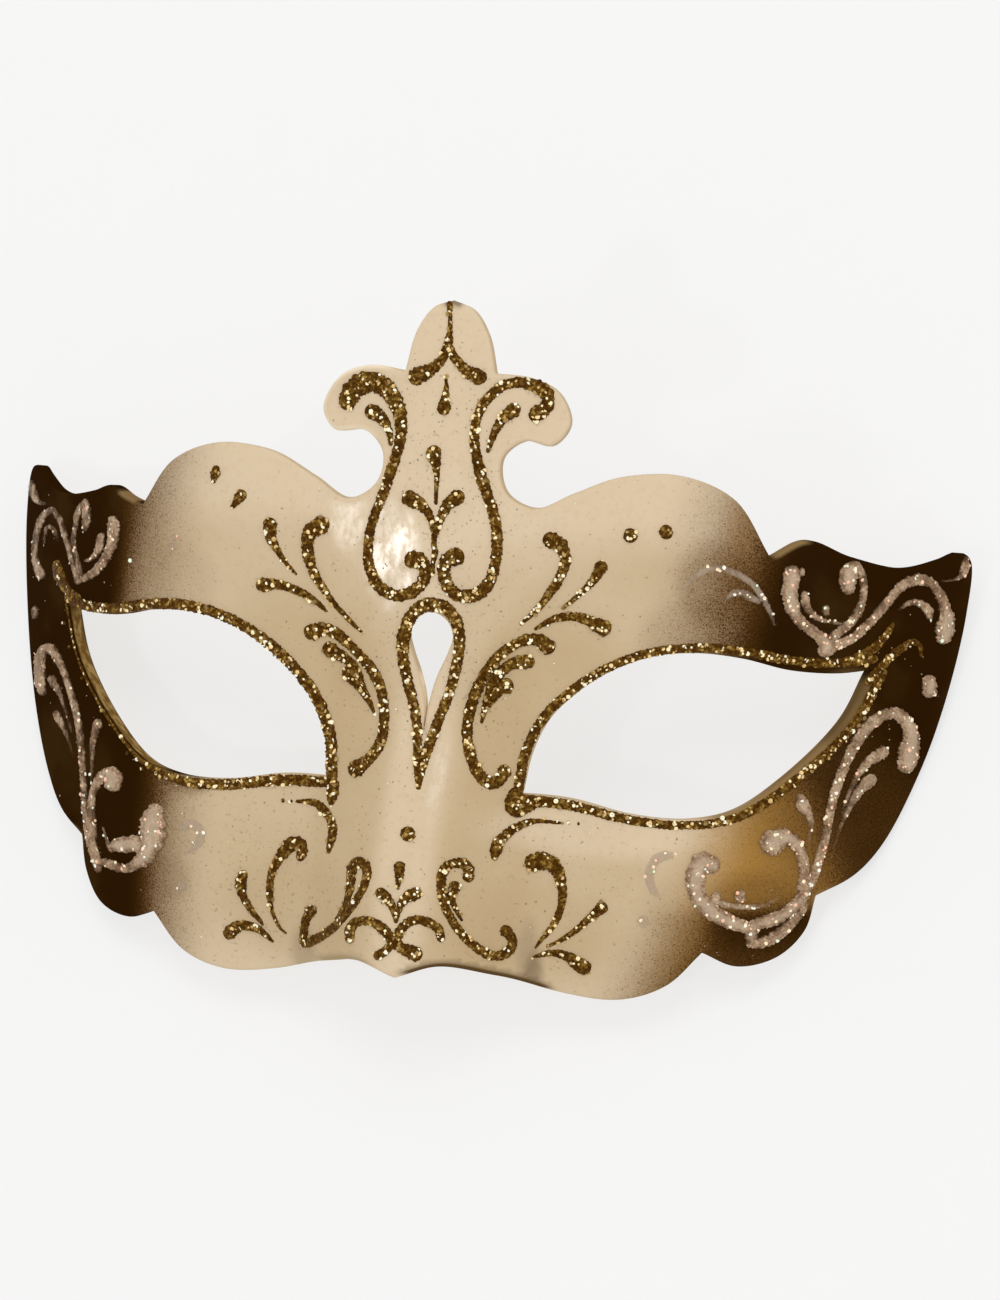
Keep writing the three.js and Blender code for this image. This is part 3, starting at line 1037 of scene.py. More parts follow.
        (562, 823, 1.1))),
    dot(569, 823, 1.2),
    dot(578.5, 823.7, 1.3),
    Stroke(((533.4, 862.6, 9), (541, 861, 9), (549.6, 862.4, 8.2), (556, 868, 7.2), (560, 877, 6),
        (562.3, 887, 5), (562.6, 898, 4.6), (560.6, 908, 4.2), (556.6, 919.5, 3.8), (550.8, 928.5, 3.2),
        (544.6, 936, 2.7), (539.5, 942, 2.1), (535.5, 947.5, 1.3))),
    Stroke(((601.5, 908, 6.4), (594, 914.6, 5), (586.8, 920.6, 4), (578, 928.5, 3.4), (567.6, 936, 3),
        (558.8, 941, 2.4), (548.5, 946, 1.4))),
    Stroke(((533, 957, 1.3), (541, 955, 2.6), (550, 953, 3.4), (559, 953.6, 4.2), (567.6, 956.6, 5),
        (575, 961.5, 6.4), (583.5, 967.5, 8))),
    # ends of the eye lines
    Stroke(((333, 784, 6), (332.6, 793, 6), (332, 799.5, 4.8), (331.4, 803.5, 2.8))),
    Stroke(((514.4, 794, 6.4), (512.6, 803, 8), (515, 811, 7.4), (523, 808, 6.6), (533, 803.4, 6))),
    Stroke(((846, 662, 5), (856, 658, 5), (866, 653, 5), (874, 648, 4.6), (882, 640, 4), (889, 631, 3),
        (893, 624, 1.8)), 0.55),
    Stroke(((868, 682, 3.6), (878, 671, 4.4), (889, 659, 4.4), (901, 649, 4), (913, 642, 3.4),
        (920, 646, 2.4), (921, 656, 1.4)), 0.45),
    Stroke(((77, 597, 4), (69, 591.6, 4.2), (62.6, 583, 4.8), (59, 574, 5.4), (57, 564, 4))),
    # flecks along the outer end of the left lower lid
    *(
        dot(x, y, 1.5, 1)
        for x, y in (
            (64, 623), (69, 647), (82, 678), (110, 724), (127, 753), (142, 769), (161, 777), (171, 782),
        )
    ),
)

PEARL_STROKES: tuple[Stroke, ...] = (
    # right brow wing
    Stroke(((792, 572, 8), (791, 580, 9), (789, 590, 8.8), (790.4, 601, 8.2), (793.8, 612, 7),
        (800.5, 622, 6.2), (810, 630, 6), (819.5, 636.5, 6.6), (826, 644, 7.8), (825, 650, 8.4))),
    dot(802, 572, 3.4, 3, 0.8),
    Stroke(((848, 589, 6.6), (847.5, 580, 9.2), (849.5, 570, 8.8), (855, 565.5, 5.4), (861, 572, 4.2),
        (863.6, 584, 4), (862.8, 598, 4.4), (859, 610, 4.6), (852.5, 620, 5), (844, 628, 5), (835, 635, 5),
        (828, 642, 5))),
    Stroke(((829, 649, 5.4), (840, 644, 5.2), (852, 638, 5), (862, 630, 5), (872, 620, 5), (882, 608, 5),
        (891, 597, 5), (900.5, 587, 5.4), (910.5, 581, 6), (921, 579.6, 6), (931, 583.5, 5.6),
        (939, 593.5, 5.4), (944, 606, 6), (946.4, 618, 8), (944.6, 630, 10.4), (943, 637, 8))),
    Stroke(((898, 610, 1.5), (905, 605, 2.6), (913, 602, 3.4), (922, 605, 4.6), (928.5, 611, 5),
        (929.4, 617, 3.6)), 0.9),
    Stroke(((804.4, 594, 3.8), (805, 601, 5), (808, 609, 4), (814, 615.6, 3.6), (822, 620, 3),
        (832, 622, 2.4), (842, 624, 1.6))),
    dot(826, 610.5, 4.2, 4),
    Stroke(((966, 558.5, 2.8), (965, 566, 4.8), (963, 572.5, 4.4), (958, 578, 2.4), (950, 580.6, 1.6),
        (940, 581.4, 1.2)), 0.85),
    dot(929, 686.5, 7.6, 9.5),
    Stroke(((683, 589, 2), (692, 579, 3.4), (704, 571, 3.6), (717, 568, 3.6), (730, 571, 3.8),
        (743, 577, 3.8), (754, 586, 3.8), (762, 597, 3.6), (769, 610, 3), (774.5, 625, 1.6)), 0.32),
    Stroke(((725, 601, 1.5), (732, 594, 3.4), (742, 593, 4), (752, 598, 4), (759, 602, 2.8)), 0.3),
    # right cheek wing
    Stroke(((906, 764, 10), (908, 753, 11.2), (911, 740, 9.4), (909, 728, 7.8), (902, 717.4, 6.8),
        (893, 712.8, 6.2), (884, 715, 6), (873, 722, 6.4), (862.5, 733.5, 6.4), (854, 746.5, 6),
        (847, 760, 5.6), (841, 774, 5.4), (836, 788, 5.2), (832, 802, 5.2), (828.6, 818, 5), (826, 832, 5),
        (823, 846, 5), (819, 860, 5), (814, 874, 5.2), (808, 886.5, 6), (801, 898, 6.6), (790, 909.5, 7),
        (777.5, 917.5, 7), (764, 922, 6.8), (752, 926, 6.6))),
    Stroke(((750, 943.5, 5), (760, 943, 5.6), (772, 938.5, 6), (784, 930, 6), (794, 920, 5.4),
        (802, 910.5, 4.4), (806, 904, 3.2)), 0.9),
    Stroke(((753, 926, 6.6), (751, 935, 7), (752, 942, 5.4)), 0.9),
    Stroke(((771.5, 843, 13), (778.5, 839, 11.6), (788, 837.5, 8), (796, 844, 7), (801, 853, 6.4),
        (803.4, 864, 6), (803.6, 876, 5.6), (801, 888, 5.4))),
    Stroke(((712, 865, 9), (702.5, 862.5, 11), (696.5, 872, 11), (695, 884, 10), (698, 896, 9),
        (706, 906.5, 8.8), (718, 916, 8.6), (731, 922, 7.8), (744, 927, 7), (752, 930, 6.6)), 0.92),
    dot(716, 897, 5, 3, 0.9),
    dot(739.6, 896, 6.2, 2, 0.9),
    Stroke(((712, 900, 3.6), (726, 905, 3.8), (740, 906.6, 3.4), (754, 906.6, 3), (766, 904, 2.4),
        (778, 898, 1.3)), 0.8),
    Stroke(((800, 798, 5.4), (802.6, 805.5, 7.2), (808, 813.5, 5.2), (811, 823, 3), (810, 834, 2.3),
        (808.6, 845, 1.5))),
    Stroke(((883, 752, 6.4), (876, 756.6, 6.2), (868, 762, 5.4), (861, 770, 4.4), (855, 780, 3.4),
        (850, 790.5, 2.6), (845, 804, 2), (841, 816, 1.3))),
    Stroke(((871, 779.5, 6.4), (863, 786, 6.2), (856, 796, 4.6), (850, 806, 3.6), (844, 818, 2.6),
        (838, 834, 1.8), (831, 858, 1.1)), 0.8),
    Stroke(((671, 855, 4.4), (664, 855.6, 5), (656, 860, 5.4), (650, 870, 5), (649.6, 880, 5),
        (653, 890, 4.4), (660, 898, 2.2)), 0.28),
    dot(643.5, 922, 5.2, 4, 0.22),
    # left brow wing
    Stroke(((32, 482, 2.4), (32.6, 489, 4.4), (35, 497, 4), (39, 502, 3), (45, 503.5, 1.9)), 0.9),
    Stroke(((41, 575, 5.2), (37.5, 566, 4.2), (34.8, 555, 3.8), (35.6, 544, 3.5), (37, 533.5, 3.6),
        (40.2, 523, 4), (46, 514, 4), (52.4, 509.6, 3.4), (58.4, 516.5, 3.4), (62.6, 527, 3.2),
        (66, 538, 3.1), (68.8, 548, 3), (71.4, 557.5, 3), (74, 566.5, 3), (76.6, 575.5, 3.2),
        (78, 582, 3.6))),
    Stroke(((44.5, 545, 1.3), (45, 535.5, 1.9), (47.5, 527.5, 2.5), (51.5, 527, 2.8), (55.4, 532.5, 2.6),
        (58.6, 539.5, 1.5)), 0.85),
    Stroke(((86, 502.5, 4), (80.8, 508, 4), (77.4, 515.5, 3.4), (76, 524, 2.9), (74.4, 533, 2.9),
        (74, 542, 2.9), (75, 550, 2.7), (77.3, 558.5, 2.8), (79.5, 567, 3.2), (80, 576, 3.6))),
    Stroke(((86.5, 506, 4.6), (87, 515, 4.6), (86.4, 523, 4.4), (85, 529, 2.8))),
    Stroke(((78.5, 580, 3.4), (84, 578.4, 3.8), (90, 575.5, 4.4), (96.5, 570, 4.8), (102.5, 563, 5),
        (107.8, 554, 5.3), (112, 544.5, 5.6), (114, 534, 6.2), (113.6, 524, 6.4), (112.8, 520, 5))),
    Stroke(((101.5, 535.5, 3.6), (100.6, 542, 4.6), (99, 549, 4.4), (95.5, 555, 3.6), (90.5, 559.5, 2.8),
        (85, 561, 1.6))),
    dot(35, 612.5, 3.6, 7),
    Stroke(((130, 561.4, 1.8), (137, 562.6, 1.3), (143.5, 563.8, 1.8)), 0.25),
    dot(174, 537.4, 3, 2, 0.3),
    dot(173.5, 546.5, 4.4, 2, 0.12),
    # left cheek wing
    Stroke(((43, 692.6, 4), (40.8, 685, 5.6), (40, 675, 6), (39.8, 666, 6), (41, 656, 5.8),
        (45.5, 649, 5.4), (50.5, 648.4, 5.2), (56, 655, 4.6), (61, 665, 4.2), (65.6, 676, 3.9),
        (69.8, 688.5, 3.8), (73.6, 701, 3.9), (77, 714, 3.9), (79.8, 731, 3.8), (81.8, 752, 3.6),
        (83.2, 772, 3.6), (84, 792, 3.6), (85.2, 808, 4), (88.4, 827, 4.8), (92, 844, 5.4), (96, 858, 5.2),
        (99, 869, 4.4))),
    Stroke(((114, 783.4, 9), (113.6, 776, 8.8), (107.5, 772.6, 6.6), (101, 778, 5.6), (95.5, 787, 4.6),
        (92.4, 797.5, 4.2), (91.6, 810, 4), (92.4, 822, 4.4), (93.4, 836, 4.8))),
    Stroke(((99, 862, 4.6), (106, 862.4, 5), (113, 865, 5), (121, 868, 4.6), (130, 867, 5.6),
        (140, 861.5, 7.4), (148.4, 852, 10.6), (152.4, 840, 13), (153, 828, 14), (154, 818, 12.4),
        (155.6, 811.5, 9))),
    Stroke(((103, 827.5, 1.5), (106.6, 838, 1.8), (109, 846, 2.4)), 0.75),
    Stroke(((112.5, 848, 5), (117, 845.4, 7.2), (125, 844.6, 8.8), (134, 844, 8.8), (141, 846, 7))),
    Stroke(((98, 723.4, 5), (95.6, 732, 4.4), (93, 744, 3.4), (92.6, 756, 2.6), (92.2, 768, 1.9),
        (91.4, 782, 1.1))),
    Stroke(((52, 678.6, 4.5), (55.7, 686.4, 3.9), (59.6, 693.4, 3), (63.8, 704.3, 2.2), (67.3, 715, 1.8),
        (72, 732, 1.2)), 0.85),
    Stroke(((56.6, 714, 4), (60, 720.8, 3.9), (64.6, 730, 2.8), (69, 740.5, 1.6), (73.6, 757, 1)), 0.85),
    Stroke(((182, 828, 4), (191, 823, 5), (199, 829, 5.4), (201, 837.5, 5.2), (197, 845.4, 4.6),
        (188, 852.5, 2.8)), 0.3),
    Stroke(((187, 839.6, 2.2), (190.5, 842, 2.2), (193.5, 844.4, 2)), 0.4),
    dot(182, 886, 5, 3, 0.18),
)


@dataclass
class GlueWork:
    """All lines of one glitter glue, as low domes that stand on the shell.

    Lengths are in millimetres. The edges and the dome are uneven by a share of a seeded
    draw, which is cut off at its limit.
    """

    glue: Glue
    strokes: tuple[Stroke, ...]
    along_step: float
    rise: float
    roughness: float
    seed: int
    full_width: float
    across_points: int = 9
    rise_limit: float = 0.75
    base_rise: float = 0.10
    faint_rise: float = 0.45
    sink: float = 0.22
    skirt: float = 0.03
    least_width: float = 0.058
    tip_width: float = 0.03
    end_points: int = 3
    raggedness: float = 0.10
    ragged_limit: float = 1.6
    bump_limit: float = 1.8

    def profile(self, stroke: Stroke) -> tuple[Points, Points, Points, Points]:
        """Lays out a stroke's middle with round ends.

        The half-width at distance t past an end of half-width r is sqrt(r^2 - t^2).

        Args:
            stroke: The stroke to lay out.

        Returns:
            Middle points, unit side vectors, half-widths and the fullness of the
            dome, which falls to 0 at each end.
        """
        scale = stroke.scale()
        step = self.along_step * scale
        path = smooth_path(np.array(stroke.knots, float), step)
        middle, width = path[:, :2], np.maximum(path[:, 2], self.least_width * scale)
        run = unit_rows(np.gradient(middle, axis=0))
        ends = []
        for end, way in ((0, -1), (-1, 1)):
            radius = width[end]
            count = max(self.end_points, round(radius / step) + 1)
            reach = radius * np.sin(np.linspace(0, math.pi / 2, count + 1)[1:])
            points = middle[end] + way * reach[:, None] * run[end]
            widths = np.sqrt(np.maximum(radius**2 - reach**2, (self.tip_width * scale) ** 2))
            runs = np.repeat(run[[end]], count, 0)
            ends.append([column[::way] for column in (points, widths, runs, widths / radius)])
        (p0, w0, r0, f0), (p1, w1, r1, f1) = ends
        middle = np.vstack([p0, middle, p1])
        run = np.vstack([r0, run, r1])
        side = np.stack([-run[:, 1], run[:, 0]], axis=-1)
        fullness = np.concatenate([f0, np.ones(len(width)), f1])
        return middle, side, np.concatenate([w0, width, w1]), fullness

    def dome(self, stroke: Stroke, rng: Random) -> tuple[Points, Points, Points]:
        """Builds one stroke as a closed tube: a dome over the shell and a keel in it.

        Across the stroke v runs from -1 to 1 and the height is h sqrt(1 - v^2).

        Args:
            stroke: The stroke to build.
            rng: Source of the glitter's unevenness.

        Returns:
            Points of the form in millimetres, rows of four corner indices, and the
            depth of glue at each point, from 0 at the edge to 1.
        """
        middle, side, width, fullness = self.profile(stroke)
        rows, cols = len(middle), self.across_points
        ragged = rng.standard_normal((rows, 2)).clip(-self.ragged_limit, self.ragged_limit)
        ragged = 1 + self.raggedness * ragged
        v = -np.cos(np.linspace(0, math.pi, cols))
        arch = np.sqrt(np.maximum(1 - v**2, 0))
        spread = np.where(v < 0, ragged[:, :1], ragged[:, 1:]) * v
        flat = middle[:, None] + side[:, None] * (width[:, None] * spread)[..., None]
        flat = np.concatenate([flat, middle[:, None]], axis=1).reshape(-1, 2)
        x, y = stroke.on_pattern(flat).T
        width = width / stroke.scale()
        tall = self.tallness(stroke, width) * fullness
        bump = rng.standard_normal((rows, cols)).clip(-self.bump_limit, self.bump_limit)
        bump = self.roughness * bump * arch * fullness[:, None]
        height = tall[:, None] * arch - self.skirt + bump
        depth = np.concatenate([height, np.full((rows, 1), -self.sink)], axis=1).ravel()
        points = FORM.point(x, y, depth)
        thick = np.minimum(width / self.full_width, 1.0) * fullness
        thick = thick[:, None] * np.append(arch, 0.0)
        ring = cols + 1
        i = np.arange(rows - 1)[:, None] * ring
        j = np.arange(ring)[None]
        k = (j + 1) % ring
        quads = np.stack([i + j, i + k, i + ring + k, i + ring + j], axis=-1)
        return points, quads.reshape(-1, 4), thick.ravel()

    def tallness(self, stroke: Stroke, width: Points) -> Points:
        """Height of the dome over the shell for a half-width in millimetres."""
        tall = np.minimum(self.rise * width + self.base_rise, self.rise_limit)
        return tall * (self.faint_rise + (1 - self.faint_rise) * stroke.body)

    def build(self) -> Piece:
        """Builds every stroke into one piece, each tube turned to face outwards.

        The signed volume of a tube, summed over its faces as corner times the cross of
        the next two, is negative where the faces point inwards.

        Returns:
            The piece, with the amount of glue stored on its vertices.
        """
        rng = np.random.default_rng(self.seed)
        ring = self.across_points + 1
        points, faces, bodies, depths, first = [], [], [], [], 0
        for stroke in self.strokes:
            dome, quads, thick = self.dome(stroke, rng)
            ends = [list(range(ring)), list(range(len(dome) - ring, len(dome)))]
            a, b, c, d = (dome[quads[:, n]] - dome[0] for n in range(4))
            volume = (np.cross(a, b) * c).sum() + (np.cross(a, c) * d).sum()
            inwards = volume <= 0
            quads = quads[:, ::-1] if inwards else quads
            ends[1 if inwards else 0].reverse()
            faces += (quads + first).tolist()
            faces += [[corner + first for corner in end] for end in ends]
            points.append(dome)
            bodies.append(np.full(len(dome), stroke.body))
            depths.append(thick)
            first += len(dome)
        name = f"{self.glue.value}_lines"
        piece = make_object(name, FORM.to_frame(np.vstack(points)), faces, False)
        add_values(piece, "glue_body", np.concatenate(bodies))
        add_values(piece, "glue_depth", np.concatenate(depths))
        LOG.info("%s: %d strokes, %d faces", name, len(self.strokes), len(faces))
        return piece


@dataclass(frozen=True)
class EyeLine:
    """Gold line along the rim of an eye opening.

    Each lid holds rows of distance from the mask's middle, half-width of the line
    there, and bare margin between the line and the cut.
    """

    step: float = 2.0
    right_upper: Knots = (
        (19, 0.95, 0.12), (30, 0.85, 0.12), (46, 0.85, 0.12), (56, 0.9, 0.45), (64, 0.9, 1.0),
        (78, 0.9, 1.2),
    )
    right_lower: Knots = (
        (19, 1.05, 0.12), (38, 0.85, 0.12), (50, 0.78, 0.30), (58, 0.85, 0.50), (70, 0.9, 0.7),
        (78, 0.8, 0.9),
    )
    left_upper: Knots = (
        (19, 1.2, 0.12), (30, 1.15, 0.12), (42, 1.05, 0.12), (78, 1.0, 0.12),
    )
    left_lower: Knots = (
        (19, 1.05, 0.12), (46, 1.0, 0.12), (52, 0.7, 0.12), (60, 0.32, 0.12), (78, 0.22, 0.12),
    )

    def strokes(self) -> tuple[Stroke, ...]:
        """Lays the line round both openings, upper and lower lid.

        The line's middle lies its own half-width and the margin away from the cut.

        Returns:
            Strokes on the pattern.
        """
        lids = (
            (1, EYE_SPANS[0], self.right_upper),
            (1, EYE_SPANS[1], self.right_lower),
            (-1, EYE_SPANS[0], self.left_upper),
            (-1, EYE_SPANS[1], self.left_lower),
        )
        made = []
        for side, span, widths in lids:
            path = smooth_path(np.array(span) * np.array([side, 1.0]), self.step)
            run = unit_rows(np.gradient(path, axis=0))
            away = np.stack([run[:, 1], -run[:, 0]], axis=-1) * side
            far, half_width, margin = np.array(widths).T
            width = np.interp(np.abs(path[:, 0]), far, half_width)
            off = width + np.interp(np.abs(path[:, 0]), far, margin)
            knots = np.column_stack([path + away * off[:, None], width])
            made.append(Stroke(tuple(map(tuple, knots.tolist())), 1.0, Space.PATTERN))
        return tuple(made)


@dataclass(frozen=True)
class DustPatch:
    """Ellipse of the photograph over which loose flakes lie."""

    x: float
    y: float
    radius_x: float
    radius_y: float
    count: int


FLAKE_SIDES = 6
FLAKE_THICKNESS = 0.14
FLAKE_SKEW = 0.3


def flake_object(
    name: str, places: Points, radius: Points, lean: float, lots: Points, rng: Random
) -> Piece:
    """Makes many six-sided flakes as one piece, each a closed pair of low pyramids.

    Args:
        name: Name of the piece.
        places: Across, up and height over the shell, one row each, in millimetres.
        radius: Radius of each flake.
        lean: How far a flake may lean, as a slope.
        lots: Lot of each flake, from 0 for dull to 1 for brightest.
        rng: Source of the leans and turns.

    Returns:
        The piece, with the lots stored on its vertices.
    """
    count, sides = len(places), FLAKE_SIDES
    normal = FORM.normal(places[:, 0], places[:, 1])
    up = unit_rows(normal + lean * rng.uniform(-1, 1, (count, 3)))
    across = unit_rows(np.cross(up, np.roll(up, 1, axis=1) + FLAKE_SKEW))
    along = np.cross(up, across)
    turn = rng.uniform(0, math.pi, (count, 1)) + np.arange(sides) * 2 * math.pi / sides
    spoke = np.cos(turn)[..., None] * across[:, None] + np.sin(turn)[..., None] * along[:, None]
    middle = FORM.point(places[:, 0], places[:, 1], places[:, 2])[:, None]
    rim = middle + radius[:, None, None] * spoke
    halves = np.array([FLAKE_THICKNESS, -FLAKE_THICKNESS])[None, :, None]
    tips = middle + halves * radius[:, None, None] * up[:, None]
    points = np.concatenate([rim, tips], axis=1).reshape(-1, 3)
    i = np.arange(sides)
    upper = np.stack([i, (i + 1) % sides, np.full(sides, sides)], axis=-1)
    lower = np.stack([(i + 1) % sides, i, np.full(sides, sides + 1)], axis=-1)
    each = np.vstack([upper, lower])[None] + (sides + 2) * np.arange(count)[:, None, None]
    piece = make_object(name, FORM.to_frame(points), each.reshape(-1, 3), False)
    add_values(piece, "flake_lot", np.repeat(lots, sides + 2))
    LOG.info("%s: %d flakes", name, count)
    return piece


@dataclass
class LineFlakes:
    """Larger flakes of glitter that stand on the lines of one glue."""

    glue_work: GlueWork
    per_square_mm: float
    radius: tuple[float, float]
    lean: float
    seed: int
    size_power: float = 1.5
    faint_share: float = 0.8
    spread: float = 0.85
    lift: float = 0.01

    def build(self) -> Piece:
        """Scatters flakes over the lines, small ones more often than large ones.

        Returns:
            The piece of all flakes.
        """
        rng = np.random.default_rng(self.seed)
        places = np.vstack([self.scatter(stroke, rng) for stroke in self.glue_work.strokes])
        low, high = self.radius
        radius = low + (high - low) * rng.random(len(places)) ** self.size_power
        name = f"{self.glue_work.glue.value}_flakes"
        return flake_object(name, places, radius, self.lean, rng.uniform(0, 1, len(places)), rng)

    def scatter(self, stroke: Stroke, rng: Random) -> Points:
        """Drops flakes on one stroke's dome, fewer to the area where its glue is thin.

        Args:
            stroke: The stroke.
            rng: Source of the places.

        Returns:
            Rows of across, up and height over the shell.
        """
        scale, step = stroke.scale(), self.glue_work.along_step
        middle, side, width, fullness = self.glue_work.profile(stroke)
        area = (2 * width / scale * step).sum()
        share = self.faint_share + (1 - self.faint_share) * stroke.body
        count = rng.poisson(area * self.per_square_mm * share)
        row = rng.choice(len(middle), count, p=width / width.sum())
        v = rng.uniform(-self.spread, self.spread, count)
        flat = middle[row] + side[row] * (width[row] * v)[:, None]
        flat = flat + rng.uniform(-0.5, 0.5, flat.shape) * step * scale
        tall = self.glue_work.tallness(stroke, width[row] / scale) * fullness[row]
        return np.column_stack([stroke.on_pattern(flat), tall * np.sqrt(1 - v**2) + self.lift])


@dataclass
class LooseFlakes:
    """Single flakes of glitter that strayed from the lines and stuck in the lacquer."""

    patches: tuple[DustPatch, ...] = (
        DustPatch(440, 430, 50, 50, 90),
        DustPatch(435, 520, 55, 70, 90),
        DustPatch(430, 650, 55, 85, 150),
        DustPatch(350, 680, 55, 85, 90),
        DustPatch(510, 690, 55, 85, 80),
        DustPatch(320, 590, 80, 70, 70),
        DustPatch(560, 600, 80, 70, 60),
        DustPatch(300, 880, 80, 60, 150),
        DustPatch(240, 850, 60, 40, 90),
        DustPatch(400, 900, 80, 60, 90),
        DustPatch(540, 880, 80, 70, 110),
        DustPatch(700, 900, 80, 50, 70),
        DustPatch(70, 640, 22, 90, 60),
        DustPatch(880, 690, 40, 60, 45),
    )
    radius: tuple[float, float] = (0.08, 0.19)
    height: float = 0.02
    lean: float = 0.3
    clear_of_edge: float = 0.8
    seed: int = 31

    def build(self, shell: MaskShell) -> Piece:
        """Scatters the flakes, thicker towards the middle of each patch and mostly dull.

        Args:
            shell: The shell, whose openings stay free of flakes.

        Returns:
            The piece of all flakes.
        """
        rng = np.random.default_rng(self.seed)
        spots = np.vstack([self.scatter(patch, rng) for patch in self.patches])
        loops = shell.loops()
        spots = spots[shell.inside(spots, loops)]
        spots = spots[shell.edge_distance(spots, loops) > self.clear_of_edge]
        places = np.column_stack([spots, np.full(len(spots), self.height)])
        radius = rng.uniform(*self.radius, len(spots))
        lots = rng.uniform(0, 1, len(spots)) ** 2
        return flake_object("loose_gold_flakes", places, radius, self.lean, lots, rng)

    @staticmethod
    def scatter(patch: DustPatch, rng: Random) -> Points:
        """Drops one patch's flakes, thicker towards its middle, on the pattern."""
        pixels = rng.normal((patch.x, patch.y), (patch.radius_x, patch.radius_y), (patch.count, 2))
        return CAMERA.cast(pixels)


# Materials


Node = bpy.types.Node
Socket = bpy.types.NodeSocket
Colour = tuple[float, float, float, float]
Stops = tuple[tuple[float, Colour], ...]
Band = tuple[float, float, float, float]


@dataclass(frozen=True)
class Noise:
    """Size of a noise in repeats per metre, its detail, roughness and uneven stretch."""

    scale: Socket | float
    detail: float = 2.0
    roughness: float = 0.5
    stretch: tuple[float, float, float] | None = None


@dataclass(frozen=True)
class Bump:
    """Share of a bump's full effect, and the height in metres that 1 stands for."""

    strength: float
    distance: float


@dataclass
class NodeBench:
    """Short calls for adding and joining nodes in one tree."""

    tree: bpy.types.NodeTree

    def add(self, kind: str, **settings: object) -> Node:
        """Adds a node and sets its properties.

        Args:
            kind: Node type.
            **settings: Property values by name.

        Returns:
            The node.
        """
        node = self.tree.nodes.new(kind)
        for name, value in settings.items():
            setattr(node, name, value)
        return node

    def join(self, source: Socket | float | tuple, target: Socket) -> None:
        """Links a socket to an input, or sets the input to a plain value."""
        if isinstance(source, bpy.types.NodeSocket):
            self.tree.links.new(source, target)
        else:
            target.default_value = source

    def fill(self, node: Node, **values: Socket | float | tuple) -> Node:
        """Joins or sets a node's inputs, named with _ for a blank, and returns the node."""
        for name, value in values.items():
            self.join(value, node.inputs[name.replace("_", " ")])
        return node

    def math(
        self, operation: str, a: Socket | float, b: Socket | float = 0.0, clamp: bool = False
    ) -> Socket:
        """Adds a Math node.

        Args:
            operation: What it works out.
            a: First value.
            b: Second value.
            clamp: Whether the result stays within 0 and 1.

        Returns:
            The result's socket.
        """
        node = self.add("ShaderNodeMath", operation=operation, use_clamp=clamp)
        self.join(a, node.inputs[0])
        self.join(b, node.inputs[1])
        return node.outputs[0]

    def times(self, a: Socket | float, b: Socket | float, clamp: bool = False) -> Socket:
        """Product of two values."""
        return self.math("MULTIPLY", a, b, clamp)

    def plus(self, a: Socket | float, b: Socket | float, clamp: bool = False) -> Socket:
        """Sum of two values."""
        return self.math("ADD", a, b, clamp)

    def less(self, a: Socket | float, b: Socket | float) -> Socket:
        """First value less the second one."""
        return self.math("SUBTRACT", a, b)

    def mix(self, factor: Socket | float, a: Socket | tuple, b: Socket | tuple) -> Socket:
        """Mixes two colours.

        Args:
            factor: Share of the second colour.
            a: First colour.
            b: Second colour.

        Returns:
            The mixed colour's socket.
        """
        node = self.add("ShaderNodeMix", data_type="RGBA")
        self.join(factor, node.inputs[0])
        self.join(a, node.inputs[6])
        self.join(b, node.inputs[7])
        return node.outputs[2]

    def remap(self, value: Socket, band: Band) -> Socket:
        """Maps a range to another one, smoothly and clamped.

        Args:
            value: Value to map.
            band: Start and end of its range, and the result at the start and the end.

        Returns:
            The result's socket.
        """
        node = self.add("ShaderNodeMapRange", interpolation_type="SMOOTHSTEP")
        self.join(value, node.inputs[0])
        for number, bound in enumerate(band, start=1):
            node.inputs[number].default_value = bound
        return node.outputs[0]

    def ramp(self, value: Socket, stops: Stops) -> Socket:
        """Turns a value into a colour between stops.

        Args:
            value: Value from 0 to 1.
            stops: Places and colours, in rising order.

        Returns:
            The colour's socket.
        """
        node = self.add("ShaderNodeValToRGB")
        band = node.color_ramp
        band.elements[0].position, band.elements[0].color = stops[0]
        band.elements[1].position, band.elements[1].color = stops[-1]
        for place, colour in stops[1:-1]:
            band.elements.new(place).color = colour
        self.join(value, node.inputs[0])
        return node.outputs[0]

    def noise(self, place: Socket, noise: Noise) -> Socket:
        """Adds noise over places in metres and returns its value.

        Args:
            place: Places in metres.
            noise: Size and make of the noise.

        Returns:
            The value's socket.
        """
        if noise.stretch:
            mapping = self.add("ShaderNodeMapping")
            place = self.fill(mapping, Scale=noise.stretch, Vector=place).outputs[0]
        node = self.add("ShaderNodeTexNoise")
        self.fill(node, Vector=place, Scale=noise.scale)
        self.fill(node, Detail=noise.detail, Roughness=noise.roughness)
        return node.outputs["Fac"]

    def vector(self, operation: str, a: Socket, b: Socket | tuple | None = None) -> Node:
        """Adds a Vector Math node, joins its one or two vectors and returns it."""
        node = self.add("ShaderNodeVectorMath", operation=operation)
        self.join(a, node.inputs[0])
        if b is not None:
            self.join(b, node.inputs[1])
        return node

    def value(self, name: str) -> Socket:
        """Reads a number stored on the piece's vertices."""
        return self.add("ShaderNodeAttribute", attribute_name=name).outputs["Fac"]

    def place(self) -> Socket:
        """Object coordinates, in metres."""
        return self.add("ShaderNodeTexCoord").outputs["Object"]

    def bump(self, height: Socket, bump: Bump, normal: Socket | None = None) -> Socket:
        """Adds a Bump node.

        Args:
            height: Height over the surface, from 0 to 1.
            bump: How strong and how high it is.
            normal: Normal to start from.

        Returns:
            The bumped normal's socket.
        """
        node = self.add("ShaderNodeBump")
        self.fill(node, Strength=bump.strength, Distance=bump.distance, Height=height)
        if normal is not None:
            self.fill(node, Normal=normal)
        return node.outputs[0]

